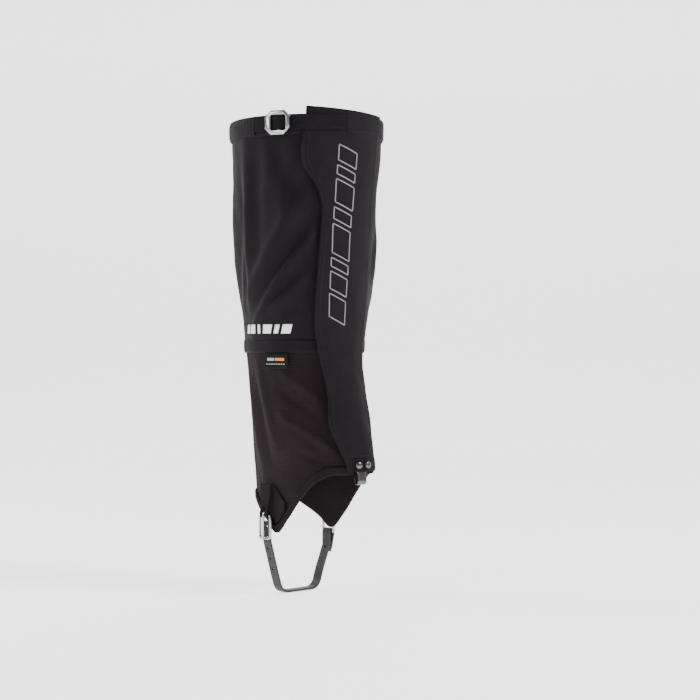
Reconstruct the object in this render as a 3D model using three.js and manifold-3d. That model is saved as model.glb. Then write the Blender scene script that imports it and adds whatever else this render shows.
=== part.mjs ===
// Knee-high mountaineering gaiter for the right leg.
// Millimetres, +Z up. The toe points along -Y and the wearer's outer side is -X.
// The origin is the middle of the instep strap's top face, under the arch of the boot.

import * as THREE from 'three';
import { mergeVertices } from 'three/addons/utils/BufferGeometryUtils.js';
import Module from 'manifold-3d';

const wasm = await Module();
wasm.setup();

// ---------------------------------------------------------------- driving dimensions

const CALF_DEPTH = 168;          // front to back at the rim
const CALF_WIDTH = 156;          // side to side at the rim
const RIM_Z = 500;
const WAIST_Z = 261;             // joint between upper and lower fabric

const FABRIC = 1.2;              // thickness of the shell fabric
const TRIM = 1.2;                // thickness of hems, tapes and patches
const LAYER_GAP = 0.45;          // between layers of cloth
const FIT_GAP = 0.35;            // between hardware and what it touches
const SEAM_GAP = 0.4;            // between cloth edges that meet

const TOP_HEM = 21;
const WAIST_BAND = 14;
const HEM_FACING = 9;
const BACK_TAPE = 9;             // width of the tape over the back seam

const OUTER_EDGE = -8;           // degrees, front edge of the outer half
const INNER_EDGE = -14.5;        // degrees, front edge of the inner half
const BACK_EDGE = 179.6;         // degrees, where both halves meet the back seam

const FLAP_SEAM = -16;           // degrees
const FLAP_LOW_Z = 131;
const FLAP_CORNER = 48;          // degrees, free corner of the flap at the rim
const FLAP_RISE = 8;             // how far the flap's free corner stands above the rim
const FLAP_OUT = 3.75;           // inner face of the flap, measured from the shell
const FLAP_CLOTH = 1.3;
const CLOSURE_TAPE = 20;         // degrees covered by the hook tape and the loop tape

const STRAP_WEBBING = 15;        // width of the calf webbing
const WEBBING = 1.2;             // its thickness
const STRAP_ROOT = 19.6;         // degrees, where the strap leaves the flap's hem
const STRAP_DROP = 8.5;          // middle of the strap below the rim

const RING_AT = 68;              // degrees
const RING_WIDTH = 29;
const RING_HEIGHT = 26;
const RING_THICK = 3;
const RING_LEFT = 7.5;
const RING_RIGHT = 5;
const RING_CHAMFER = 7;
const RING_BAR = 2.4;            // width of the hidden centre bar
const RING_BAR_THICK = 1.3;

const TAB_WIDTH = 11.4;          // instep tab, at the buckle
const WIRE_R = 1.5;              // wire of the instep buckle
const BUCKLE_OUT = 7.4;          // wire's centre, measured from the shell
const BUCKLE_Z = 82;             // upper bar
const BUCKLE_SPAN = 24.5;        // upper bar to lower bar
const PRONG_WIDTH = 2.2;
const PRONG_THICK = 1.8;
const PRONG_ROOM = 9.5;          // height of the tab's slot above the bar
const TAB_TOP = 116;             // where the instep tabs end on the shell
const PATCH_LOW = 97;            // back corner of the side patch
const PATCH_HIGH = 114;          // its front corner

const INSTEP_WIDTH = 10.5;
const INSTEP_THICK = 2.5;
const INSTEP_HALF = 31;          // strap's half width at the sole
const INSTEP_BEND = 13;          // radius of the bend under the boot
const HOLE_D = 3.2;
const HOLE_PITCH = 11.4;
const HOLES = 5;

const RIVET_D = 7.5;
const RIVET_SHANK = 3;
const HOOK_AT = 8;               // degrees, middle of the lace hook
const HOOK_WIDTH = 11;           // degrees
const RIVET_STEP = 11;           // degrees between the two rivets
const HOOK_PLATE = 0.9;

const LABEL_WIDTH = 30;
const LABEL_DROP = 16;
const LABEL_AT = 76;             // degrees

// Leg shape: height, middle of the section, then half depth and half width
// as parts of the depth and width at the rim.
const LEG = [
  [60, -25.0, 0.458, 0.276],
  [130, -24.0, 0.450, 0.285],
  [160, -22.0, 0.435, 0.320],
  [181, -19.2, 0.423, 0.337],
  [219, -13.5, 0.405, 0.346],
  [254, -10.1, 0.405, 0.376],
  [303, -11.5, 0.417, 0.423],
  [403, -12.5, 0.458, 0.474],
  [500, -14.5, 0.500, 0.500],
];

// Boot hem: angle from the front, height.
const HEM = [
  [0, 128], [40, 127], [57, 120], [73, 102], [88, 79], [101, 63.5],
  [113, 75], [126, 85], [145, 96], [180, 100],
];

// Free edge of the flap: height, angle.
const FLAP_EDGE = [
  [131, 27], [151, 31], [180, 37], [212, 33.5], [250, 36.5], [285, 39.5],
  [340, 37], [400, 34.5], [417, 36.5], [432, 42], [447, 49], [462, 51], [508, 48],
];

// ---------------------------------------------------------------- curves and the leg

const rad = (deg) => (deg * Math.PI) / 180;
const lerp = (a, b, t) => a + (b - a) * t;

// Smooth value from a table whose first column rises.
function along(table, x, column = 1) {
  const last = table.length - 1;
  if (x <= table[0][0]) return table[0][column];
  if (x >= table[last][0]) return table[last][column];
  const i = table.findIndex((row) => row[0] > x) - 1;
  const slope = (k) => {
    if (k === 0 || k === last) return 0;
    const before = (table[k][column] - table[k - 1][column]) / (table[k][0] - table[k - 1][0]);
    const after = (table[k + 1][column] - table[k][column]) / (table[k + 1][0] - table[k][0]);
    return before * after <= 0 ? 0 : (2 * before * after) / (before + after);
  };
  const width = table[i + 1][0] - table[i][0];
  const t = (x - table[i][0]) / width;
  return THREE.MathUtils.lerp(table[i][column], table[i + 1][column], t * t * (3 - 2 * t))
    + width * t * (1 - t) * ((1 - t) * slope(i) - t * slope(i + 1));
}

const hemZ = (deg) => along(HEM, Math.abs(deg));
const flapEdge = (z) => along(FLAP_EDGE, z);

// Point on the leg: degrees from the front (positive to the outer side), height, offset.
function legPoint(deg, z, out = 0) {
  const middle = along(LEG, z, 1);
  const depth = along(LEG, z, 2) * CALF_DEPTH + out;
  const width = along(LEG, z, 3) * CALF_WIDTH + out;
  return new THREE.Vector3(-width * Math.sin(rad(deg)), middle - depth * Math.cos(rad(deg)), z);
}

// Frame on the leg: X runs round towards the back, Y points out, Z runs up.
function seat(deg, z, out = 0, upright = false) {
  const step = 0.5;
  const round = legPoint(deg + step, z).sub(legPoint(deg - step, z)).normalize();
  const up = upright
    ? new THREE.Vector3(0, 0, 1)
    : legPoint(deg, z + step).sub(legPoint(deg, z - step)).normalize();
  const outward = new THREE.Vector3().crossVectors(up, round).normalize();
  up.crossVectors(round, outward);
  const group = new THREE.Group();
  group.matrix.makeBasis(round, outward, up).setPosition(legPoint(deg, z, out));
  group.matrix.decompose(group.position, group.quaternion, group.scale);
  return group;
}

// ---------------------------------------------------------------- solids

function closed(positions, indices) {
  const geometry = new THREE.BufferGeometry();
  geometry.setAttribute('position', new THREE.Float32BufferAttribute(positions, 3));
  geometry.setIndex(indices);
  return geometry;
}

function toSolid(geometry) {
  const bare = geometry.clone();
  bare.deleteAttribute('normal');
  bare.deleteAttribute('uv');
  const merged = mergeVertices(bare, 1e-4);
  const index = Array.from(merged.index.array);
  const kept = [];
  for (let i = 0; i < index.length; i += 3) {
    const [a, b, c] = index.slice(i, i + 3);
    if (a !== b && b !== c && a !== c) kept.push(a, b, c);
  }
  return new wasm.Manifold(new wasm.Mesh({
    numProp: 3,
    vertProperties: new Float32Array(merged.attributes.position.array),
    triVerts: new Uint32Array(kept),
  }));
}

function toGeometry(solid) {
  const mesh = solid.getMesh();
  return closed(Array.from(mesh.vertProperties), Array.from(mesh.triVerts));
}

const cut = (geometry, tools) => toGeometry(
  tools.reduce((left, tool) => left.subtract(toSolid(tool)), toSolid(geometry)));

const join = (geometries) => toGeometry(
  geometries.map(toSolid).reduce((all, next) => all.add(next)));

// A sheet that follows the leg. place(u, v) gives { deg, z }, inner and outer are offsets.
function sheet(place, across, up, inner, outer) {
  const positions = [];
  const at = (side, i, j) => (side * (across + 1) + i) * (up + 1) + j;
  for (const offset of [inner, outer]) {
    for (let i = 0; i <= across; i += 1) {
      for (let j = 0; j <= up; j += 1) {
        const { deg, z } = place(i / across, j / up);
        const out = typeof offset === 'function' ? offset(deg) : offset;
        positions.push(...legPoint(deg, z, out).toArray());
      }
    }
  }
  const indices = [];
  const quad = (a, b, c, d) => indices.push(a, b, c, a, c, d);
  for (let i = 0; i < across; i += 1) {
    for (let j = 0; j < up; j += 1) {
      quad(at(0, i, j), at(0, i + 1, j), at(0, i + 1, j + 1), at(0, i, j + 1));
      quad(at(1, i, j), at(1, i, j + 1), at(1, i + 1, j + 1), at(1, i + 1, j));
    }
    quad(at(0, i, 0), at(1, i, 0), at(1, i + 1, 0), at(0, i + 1, 0));
    quad(at(0, i, up), at(0, i + 1, up), at(1, i + 1, up), at(1, i, up));
  }
  for (let j = 0; j < up; j += 1) {
    quad(at(0, 0, j), at(0, 0, j + 1), at(1, 0, j + 1), at(1, 0, j));
    quad(at(0, across, j), at(1, across, j), at(1, across, j + 1), at(0, across, j + 1));
  }
  const geometry = closed(positions, indices);
  const volume = toSolid(geometry).volume();
  if (volume < 0) geometry.setIndex(indices.reverse());
  return geometry;
}

// Rows of a tall sheet, so that their height stays the same when the sheet grows.
const rowsFor = (height, row) => Math.max(1, Math.round(height / row));

// A sheet between two angles whose lower and upper ends are heights or follow the angle.
function panel({ from, to, low, high, inner = -FABRIC, outer = 0, across, up }) {
  const value = (end, deg) => (typeof end === 'function' ? end(deg) : end);
  const columns = across ?? Math.max(1, Math.ceil(Math.abs(to - from) / 7.5));
  const place = (u, v) => {
    const deg = lerp(from, to, u);
    return { deg, z: lerp(value(low, deg), value(high, deg), v) };
  };
  return sheet(place, columns, up ?? 1, inner, outer);
}

// Outline of a ribbon of even thickness along points in a plane.
function ribbonShape(points, thickness) {
  const path = points.map(([x, y]) => new THREE.Vector2(x, y));
  const side = (sign) => path.map((point, i) => {
    const before = path[Math.max(i - 1, 0)];
    const after = path[Math.min(i + 1, path.length - 1)];
    const inward = point.clone().sub(before);
    const onward = after.clone().sub(point);
    const first = (inward.length() > 0 ? inward : onward).clone().normalize();
    const second = (onward.length() > 0 ? onward : inward).clone().normalize();
    const mean = first.clone().add(second).normalize();
    const reach = thickness / 2 / Math.max(mean.dot(first), 0.5);
    return new THREE.Vector2(point.x - mean.y * sign * reach, point.y + mean.x * sign * reach);
  });
  return new THREE.Shape([...side(1), ...side(-1).reverse()]);
}

const arc = (x, y, r, from, to, steps) => Array.from({ length: steps + 1 }, (_, i) => {
  const turn = rad(lerp(from, to, i / steps));
  return [x + r * Math.cos(turn), y + r * Math.sin(turn)];
});

// A shape drawn in (x, z) and given a width along y, centred on y = 0.
function slab(shape, width) {
  const geometry = new THREE.ExtrudeGeometry(shape, { depth: width, bevelEnabled: false });
  geometry.rotateX(Math.PI / 2);
  geometry.translate(0, width / 2, 0);
  return geometry;
}

// A round wire along a closed loop in the plane x = 0, given as points (y, z).
function wireLoop(points, radius, sides = 10) {
  const positions = [];
  const count = points.length;
  points.forEach(([y, z], i) => {
    const [y0, z0] = points[(i + count - 1) % count];
    const [y1, z1] = points[(i + 1) % count];
    const normal = new THREE.Vector2(z1 - z0, y0 - y1).normalize();
    for (let k = 0; k < sides; k += 1) {
      const turn = (2 * Math.PI * k) / sides;
      const flat = radius * Math.cos(turn);
      positions.push(radius * Math.sin(turn), y + normal.x * flat, z + normal.y * flat);
    }
  });
  const indices = [];
  for (let i = 0; i < count; i += 1) {
    for (let k = 0; k < sides; k += 1) {
      const a = i * sides + k;
      const b = i * sides + ((k + 1) % sides);
      const c = ((i + 1) % count) * sides + ((k + 1) % sides);
      const d = ((i + 1) % count) * sides + k;
      indices.push(a, b, c, a, c, d);
    }
  }
  const geometry = closed(positions, indices);
  if (toSolid(geometry).volume() < 0) geometry.setIndex(indices.reverse());
  return geometry;
}

function roundedLoop(halfWidth, low, high, corner) {
  return [
    ...arc(halfWidth - corner, high - corner, corner, 0, 90, 3),
    ...arc(corner - halfWidth, high - corner, corner, 90, 180, 3),
    ...arc(corner - halfWidth, low + corner, corner, 180, 270, 3),
    ...arc(halfWidth - corner, low + corner, corner, 270, 360, 3),
  ];
}

function rod(radius, low, high, sides = 16) {
  const geometry = new THREE.CylinderGeometry(radius, radius, high - low, sides);
  geometry.translate(0, (low + high) / 2, 0);
  return geometry;
}

function dome(radius, rim, height, foot) {
  const profile = [new THREE.Vector2(0, foot), new THREE.Vector2(radius, foot)];
  for (let i = 0; i <= 4; i += 1) {
    const turn = rad(90 * (i / 4));
    profile.push(new THREE.Vector2(radius * Math.cos(turn), foot + rim + height * Math.sin(turn)));
  }
  return new THREE.LatheGeometry(profile, 20);
}

// ---------------------------------------------------------------- materials and the group

const LOOKS = {
  upperCloth: { color: 0x1d1b1e, roughness: 0.82, metalness: 0 },
  lowerCloth: { color: 0x2a2226, roughness: 0.92, metalness: 0 },
  trim: { color: 0x161518, roughness: 0.85, metalness: 0 },
  webbing: { color: 0x1a191c, roughness: 0.9, metalness: 0 },
  closure: { color: 0x101012, roughness: 1.0, metalness: 0 },
  label: { color: 0x141416, roughness: 0.8, metalness: 0 },
  rubber: { color: 0x2f3033, roughness: 0.55, metalness: 0 },
  steel: { color: 0xb9bbbe, roughness: 0.25, metalness: 1 },
};

const gaiter = new THREE.Group();

function add(name, geometry, look, parent = gaiter) {
  const material = new THREE.MeshStandardMaterial(LOOKS[look]);
  const mesh = new THREE.Mesh(geometry, material);
  mesh.name = name;
  parent.add(mesh);
  return mesh;
}

const halves = [
  { side: 'outer', sign: 1, front: OUTER_EDGE },
  { side: 'inner', sign: -1, front: INNER_EDGE },
];

// ---------------------------------------------------------------- shell

const trimIn = LAYER_GAP;
const trimOut = LAYER_GAP + TRIM;
const tapeTurn = (BACK_TAPE / 2 + SEAM_GAP * 2) / (CALF_DEPTH * 0.4) * (180 / Math.PI);
const bandBack = 180 - tapeTurn;
const hemTop = (deg) => hemZ(deg) + HEM_FACING;
const hookFront = HOOK_AT + HOOK_WIDTH / 2 + 5;

for (const { side, sign, front } of halves) {
  const back = sign * BACK_EDGE;
  add(`upper_${side}_panel`, panel({
    from: front, to: back, low: WAIST_Z + SEAM_GAP / 2, high: RIM_Z,
    up: rowsFor(RIM_Z - WAIST_Z, 26.5),
  }), 'upperCloth');
  add(`lower_${side}_panel`, panel({
    from: front, to: back, low: hemZ, high: WAIST_Z - SEAM_GAP / 2, up: 8,
  }), 'lowerCloth');

  const band = { to: sign * bandBack, inner: trimIn, outer: trimOut };
  const coveredFront = side === 'outer' ? front + CLOSURE_TAPE + 4 : FLAP_SEAM - 9;
  add(`waist_band_${side}`, panel({
    ...band, from: coveredFront, low: WAIST_Z - WAIST_BAND / 2, high: WAIST_Z + WAIST_BAND / 2,
  }), 'trim');
  add(`top_hem_${side}`, panel({
    ...band, from: side === 'outer' ? front : FLAP_SEAM - 9, low: RIM_Z - TOP_HEM, high: RIM_Z,
  }), 'trim');
  add(`hem_facing_${side}`, panel({
    ...band, from: side === 'outer' ? hookFront : FLAP_SEAM - 3, low: hemZ, high: hemTop, up: 1,
  }), 'trim');
}

add('back_seam_tape', panel({
  from: bandBack + 1, to: 360 - bandBack - 1, low: HEM[HEM.length - 1][1], high: RIM_Z,
  inner: trimIn, outer: trimOut, across: 2, up: rowsFor(RIM_Z - HEM[HEM.length - 1][1], 25),
}), 'trim');

add('flap_seam_binding', panel({
  from: FLAP_SEAM - 1.2, to: FLAP_SEAM - 7.5, low: HEM[0][1] + HEM_FACING + 1, high: RIM_Z,
  inner: trimIn, outer: trimOut, across: 1, up: rowsFor(RIM_Z - HEM[0][1], 23),
}), 'trim');

const tapeLow = FLAP_LOW_Z + 24;
const tapeTop = RIM_Z - TOP_HEM - SEAM_GAP;
const tapeRows = rowsFor(tapeTop - tapeLow, 23);
add('loop_tape', panel({
  from: OUTER_EDGE, to: OUTER_EDGE + CLOSURE_TAPE, low: tapeLow,
  high: tapeTop, inner: trimIn, outer: trimOut, up: tapeRows,
}), 'closure');

// ---------------------------------------------------------------- calf tab and its channel

const strapTop = RIM_Z - STRAP_DROP + STRAP_WEBBING / 2;
const strapLow = strapTop - STRAP_WEBBING;
const ringZ = RIM_Z - STRAP_DROP;
const ringStep = legPoint(RING_AT + 0.5, ringZ).distanceTo(legPoint(RING_AT - 0.5, ringZ));
const ringTurn = (x) => RING_AT + x / ringStep;

const webIn = trimOut + FIT_GAP;
const webOut = webIn + WEBBING;
const ringBack = webOut + 0.6;
const ringEnd = RING_WIDTH / 2;
const openLeft = ringEnd - RING_LEFT;
const openRight = RING_RIGHT - ringEnd;
const barAt = (openLeft + openRight) / 2;

add('calf_tab', panel({
  from: ringTurn(openLeft + 3.6), to: 87.5, low: strapLow, high: strapTop,
  inner: webIn, outer: webOut,
}), 'webbing');

add('strap_channel', panel({
  from: 88.2, to: bandBack, low: RIM_Z - TOP_HEM + 1.5, high: RIM_Z - 0.5,
  inner: webIn, outer: webOut + 0.3,
}), 'trim');

// ---------------------------------------------------------------- front flap

const flapIn = FLAP_OUT;
const flapOut = FLAP_OUT + FLAP_CLOTH;
const flapTop = (deg) => RIM_Z + 1
  + (FLAP_RISE - 1) * THREE.MathUtils.clamp((deg - FLAP_SEAM) / (FLAP_CORNER - FLAP_SEAM), 0, 1);

const flapCloth = sheet((u, v) => {
  const high = flapTop(lerp(FLAP_SEAM, FLAP_CORNER, u));
  const z = lerp(FLAP_LOW_Z, high, v);
  return { deg: lerp(FLAP_SEAM, flapEdge(z), u), z };
}, 9, rowsFor(RIM_Z + FLAP_RISE - FLAP_LOW_Z, 14.5), flapIn, flapOut);

const rivetZ = FLAP_LOW_Z + 6.5;
const rivetAngles = [HOOK_AT + RIVET_STEP / 2, HOOK_AT - RIVET_STEP / 2];

// Something turned about the rivet's axis, carried to the rivet's place.
function atRivet(geometry, deg) {
  const place = seat(deg, rivetZ);
  place.updateMatrix();
  return geometry.clone().applyMatrix4(place.matrix);
}
const rivetHoles = rivetAngles.map((deg) => atRivet(
  rod(RIVET_SHANK / 2 + FIT_GAP, -1, flapOut + 6, 12), deg));

add('front_flap', cut(flapCloth, rivetHoles), 'upperCloth');

const patchIn = flapOut + LAYER_GAP;
const patchOut = patchIn + 0.8;
add('flap_hook_patch', cut(panel({
  from: FLAP_SEAM + 1.5, to: HOOK_AT + HOOK_WIDTH / 2 + 6, low: FLAP_LOW_Z + 0.5,
  high: FLAP_LOW_Z + 14, inner: patchIn, outer: patchOut, across: 6, up: 1,
}), rivetHoles), 'trim');

add('flap_top_hem', panel({
  from: FLAP_SEAM + 1, to: STRAP_ROOT - 0.6, low: RIM_Z - TOP_HEM + 2,
  high: (deg) => flapTop(deg) - 0.6, inner: patchIn, outer: patchIn + 1.4,
}), 'trim');

const hookTapeTo = OUTER_EDGE + CLOSURE_TAPE;
add('hook_tape', panel({
  from: OUTER_EDGE, to: hookTapeTo, low: tapeLow, high: tapeTop,
  inner: trimOut + LAYER_GAP, outer: flapIn - LAYER_GAP - 0.2, up: tapeRows,
}), 'closure');

// ---------------------------------------------------------------- lace hook

const plateIn = flapIn - 0.65 - HOOK_PLATE;
const plateMid = plateIn + HOOK_PLATE / 2;
const hookLow = FLAP_LOW_Z - 9.5;
const hookR = 3.8;
const hookPath = [
  [plateMid, rivetZ + 5.5], [plateMid, rivetZ - 5], [plateMid, hookLow],
  ...arc(plateMid - hookR, hookLow, hookR, -20, -160, 5),
  [plateMid - 2 * hookR, hookLow], [plateMid - 2 * hookR, hookLow + 3.8],
];

// A profile in (offset, height) carried round the leg.
function hoop(outline, from, to, steps) {
  const ring = outline.getPoints();
  if (THREE.ShapeUtils.isClockWise(ring)) ring.reverse();
  const count = ring.length;
  const positions = [];
  for (let i = 0; i <= steps; i += 1) {
    const deg = lerp(from, to, i / steps);
    const base = seat(deg, rivetZ);
    base.updateMatrix();
    for (const { x, y } of ring) {
      positions.push(...new THREE.Vector3(0, x, y - rivetZ).applyMatrix4(base.matrix).toArray());
    }
  }
  const indices = [];
  for (let i = 0; i < steps; i += 1) {
    for (let k = 0; k < count; k += 1) {
      const next = (k + 1) % count;
      const a = i * count;
      const b = a + count;
      indices.push(a + k, a + next, b + next, a + k, b + next, b + k);
    }
  }
  const caps = THREE.ShapeUtils.triangulateShape(ring, []);
  const end = steps * count;
  for (const [a, b, c] of caps) indices.push(c, b, a, end + a, end + b, end + c);
  const geometry = closed(positions, indices);
  if (toSolid(geometry).volume() < 0) geometry.setIndex(indices.reverse());
  return geometry;
}

add('lace_hook', cut(
  hoop(ribbonShape(hookPath, HOOK_PLATE), HOOK_AT - HOOK_WIDTH / 2 - 2,
    HOOK_AT + HOOK_WIDTH / 2 + 2, 6), rivetHoles), 'steel');

rivetAngles.forEach((deg, i) => {
  const holder = seat(deg, rivetZ);
  gaiter.add(holder);
  const capOut = plateIn - 0.3 - 0.2;
  add(`lace_rivet_${i + 1}`, join([
    dome(RIVET_D / 2, 0.5, 1.6, patchOut + 0.75),
    rod(RIVET_SHANK / 2, capOut + 0.3, patchOut + 1, 12),
  ]), 'steel', holder);
  add(`lace_rivet_cap_${i + 1}`, rod(2.6, capOut - 0.9, capOut, 16), 'steel', holder);
});

// ---------------------------------------------------------------- calf strap and ring

// Middle of the webbing: over the flap, down behind its edge, then under the ring's
// side bars and over the hidden centre bar.
const over = patchIn + 0.3 + WEBBING / 2;
const under = webIn + WEBBING / 2;
const crest = ringBack + RING_BAR_THICK + FIT_GAP + WEBBING / 2;
const strapLeaves = FLAP_CORNER + 1.6;
const STRAP_LINE = [
  [STRAP_ROOT, over], [strapLeaves, over], [strapLeaves + 7, under], [ringTurn(openRight - 0.6), under],
  [ringTurn(barAt - 2.6), crest], [ringTurn(barAt + 2.6), crest],
  [ringTurn(openLeft + 0.6), under], [ringTurn(openLeft + 2.6), under],
];
const strapLine = (deg) => {
  const i = Math.max(1, STRAP_LINE.findIndex((row) => row[0] >= deg - 1e-6));
  const [a, b] = [STRAP_LINE[i - 1], STRAP_LINE[i]];
  return lerp(a[1], b[1], (deg - a[0]) / (b[0] - a[0]));
};

// Angles at which the strap's line bends, with even steps between far ones.
const strapAngles = STRAP_LINE.flatMap(([deg], i) => {
  if (i === 0) return [deg];
  const before = STRAP_LINE[i - 1][0];
  const steps = Math.max(1, Math.round((deg - before) / 6));
  return Array.from({ length: steps }, (_, k) => lerp(before, deg, (k + 1) / steps));
});
add('calf_strap', sheet((u, v) => ({
  deg: strapAngles[Math.round(u * (strapAngles.length - 1))],
  z: lerp(strapLow, strapTop, v),
}), strapAngles.length - 1, 1, (deg) => strapLine(deg) - WEBBING / 2,
(deg) => strapLine(deg) + WEBBING / 2), 'webbing');

function ringGeometry() {
  const half = RING_HEIGHT / 2;
  const c = RING_CHAMFER;
  const outer = new THREE.Shape([
    [-ringEnd + c, -half], [ringEnd - c, -half], [ringEnd, -half + c], [ringEnd, half - c],
    [ringEnd - c, half], [-ringEnd + c, half], [-ringEnd, half - c], [-ringEnd, -half + c],
  ].map(([x, z]) => new THREE.Vector2(x, z)));
  const reach = STRAP_WEBBING / 2 + 1.3;
  outer.holes.push(new THREE.Path([
    [openRight, -reach], [openLeft, -reach], [openLeft, reach], [openRight, reach],
  ].map(([x, z]) => new THREE.Vector2(x, z))));
  const frame = new THREE.ExtrudeGeometry(outer, { depth: RING_THICK, bevelEnabled: false });
  frame.rotateX(Math.PI / 2);
  frame.translate(0, RING_THICK, 0);
  const bar = new THREE.BoxGeometry(RING_BAR, RING_BAR_THICK, 2 * reach + 2);
  bar.translate(barAt, RING_BAR_THICK / 2, 0);
  return join([frame, bar]);
}
const ringSeat = seat(RING_AT, ringZ);
gaiter.add(ringSeat);
add('calf_ring', ringGeometry(), 'steel', ringSeat).position.y = ringBack;

// ---------------------------------------------------------------- side label

const labelSeat = seat(LABEL_AT, WAIST_Z - WAIST_BAND / 2 - 0.5, 0.6, true);
gaiter.add(labelSeat);
const label = new THREE.BoxGeometry(LABEL_WIDTH, 0.7, LABEL_DROP);
add('side_label', label, 'label', labelSeat).position.set(0, 1.6, -LABEL_DROP / 2);

// ---------------------------------------------------------------- instep tabs and patches

// Angle at which the strap's plane (y = 0) meets the shell at the buckle.
const strapTurn = Math.acos(
  along(LEG, BUCKLE_Z, 1) / (along(LEG, BUCKLE_Z, 2) * CALF_DEPTH)) * (180 / Math.PI);
const shellX = (z) => -legPoint(strapTurn, z).x;
const barX = shellX(BUCKLE_Z) + BUCKLE_OUT;
const foldR = WIRE_R + FIT_GAP + WEBBING / 2;
const prongR = WIRE_R + FIT_GAP + PRONG_THICK / 2;
const prongOut = prongR + PRONG_THICK / 2;

function tabGeometry() {
  const back = barX - foldR;
  const path = [
    [back, TAB_TOP - 6], [back, BUCKLE_Z + 3],
    ...arc(barX, BUCKLE_Z, foldR, 180, 360, 8),
    [barX + foldR, BUCKLE_Z + 2], [back + WEBBING + 0.5, BUCKLE_Z + 17],
    [back + WEBBING + 0.5, TAB_TOP],
  ];
  const slotLow = BUCKLE_Z - prongOut - 0.8;
  const slotHigh = BUCKLE_Z + PRONG_ROOM;
  const slot = new THREE.BoxGeometry(4 * foldR, PRONG_WIDTH + 2, slotHigh - slotLow);
  slot.translate(barX, 0, (slotLow + slotHigh) / 2);
  return cut(slab(ribbonShape(path, WEBBING), TAB_WIDTH), [slot]);
}

for (const { side, sign } of halves) {
  const holder = new THREE.Group();
  holder.rotation.z = sign > 0 ? Math.PI : 0;
  gaiter.add(holder);
  add(`instep_tab_${side}`, tabGeometry(), 'webbing', holder);
  const near = strapTurn - 7.5;
  add(`side_patch_${side}`, panel({
    from: sign * (near - 12), to: sign * near, low: (deg) => hemTop(deg) + 2.4,
    high: (deg) => lerp(PATCH_LOW, PATCH_HIGH, (Math.abs(deg) - near + 12) / 12),
    inner: trimIn, outer: trimOut, across: 4,
  }), 'trim');
}

// ---------------------------------------------------------------- instep strap and buckle

const bottomZ = BUCKLE_Z - BUCKLE_SPAN;
const strapMid = -INSTEP_THICK / 2;
const armLow = [INSTEP_HALF + 3.2, INSTEP_BEND + 6];
const armAtBar = barX - WIRE_R - FIT_GAP - INSTEP_THICK / 2;

function instepStrapGeometry() {
  const bend = [
    ...arc(INSTEP_HALF - INSTEP_BEND, strapMid + INSTEP_BEND, INSTEP_BEND, 270, 345, 5),
  ];
  const outer = [
    ...bend.map(([x, z]) => [-x, z]), [-armLow[0], armLow[1]],
    [-armAtBar, bottomZ - 3], [-armAtBar, BUCKLE_Z - 6.5],
  ].reverse();
  const loopR = WIRE_R + FIT_GAP + 0.15 + INSTEP_THICK / 2;
  const armTop = [barX - loopR, bottomZ - 14];
  const armLean = Math.atan2(armTop[0] - armLow[0], armTop[1] - armLow[1]);
  const beside = (z) => [
    armLow[0] + Math.min(z - armLow[1], armTop[1] - armLow[1]) * Math.tan(armLean)
      + (INSTEP_THICK + 2 * LAYER_GAP) / Math.cos(armLean), z];
  const inner = [
    ...bend, armLow, armTop, [barX - loopR, bottomZ],
    ...arc(barX, bottomZ, loopR, 165, -15, 8),
    beside(armTop[1] + 1), beside(armTop[1] - 7),
  ];
  const strap = slab(ribbonShape([...outer, ...inner], INSTEP_THICK), INSTEP_WIDTH);
  const lean = Math.atan2(armAtBar - armLow[0], bottomZ - 3 - armLow[1]);
  const top = BUCKLE_Z - 12;
  const holes = Array.from({ length: HOLES }, (_, i) => {
    const z = top - i * HOLE_PITCH;
    const rise = THREE.MathUtils.clamp((z - armLow[1]) / (bottomZ - 3 - armLow[1]), 0, 1);
    const tool = new THREE.CylinderGeometry(HOLE_D / 2, HOLE_D / 2, 12, 12);
    tool.rotateY(0.12);
    tool.rotateZ(Math.PI / 2 - (rise < 1 ? lean : 0));
    tool.translate(-lerp(armLow[0], armAtBar, rise), 0, z);
    return tool;
  });
  const rivetHole = rod(1.4, -8, 8, 12);
  rivetHole.rotateZ(Math.PI / 2);
  rivetHole.translate(barX - 2, 0, bottomZ - 16);
  return cut(strap, [...holes, rivetHole]);
}
add('instep_strap', instepStrapGeometry(), 'rubber');

const halfFrame = TAB_WIDTH / 2 + 0.5 + WIRE_R;
const frameLoop = roundedLoop(halfFrame, -BUCKLE_SPAN, 0, 2);
for (const { side, sign } of halves) {
  const name = side === 'outer' ? 'instep_buckle_frame' : 'instep_loop_inner';
  add(name, wireLoop(frameLoop, WIRE_R), 'steel').position.set(-sign * barX, 0, BUCKLE_Z);
}

const prong = slab(ribbonShape([
  ...arc(0, 0, prongR, -60, 180, 10), [-prongR, -BUCKLE_SPAN / 2], [-prongR, -BUCKLE_SPAN - 2],
], PRONG_THICK), PRONG_WIDTH);
add('instep_prong', prong, 'steel').position.set(-barX, 0, BUCKLE_Z);

const strapRivet = new THREE.Group();
strapRivet.rotation.z = -Math.PI / 2;
strapRivet.position.set(barX - 2, 0, bottomZ - 16);
gaiter.add(strapRivet);
add('instep_rivet', join([rod(1.1, -5.6, 5.6, 12), dome(3, 0.4, 1, 5.2)]), 'steel', strapRivet);

export default gaiter;
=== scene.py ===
# %% [markdown]
# A knee-high mountaineering gaiter, modelled round a frame that is already fixed. Sewn things are
# mostly thin sheets that follow one body, so nearly every cloth piece here is a grid laid on the
# same leg shape. The metal and rubber pieces are small, and are modelled one by one.

# %% Load the frame
import math

import bmesh
import bpy
from mathutils import Matrix, Vector, noise


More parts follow.
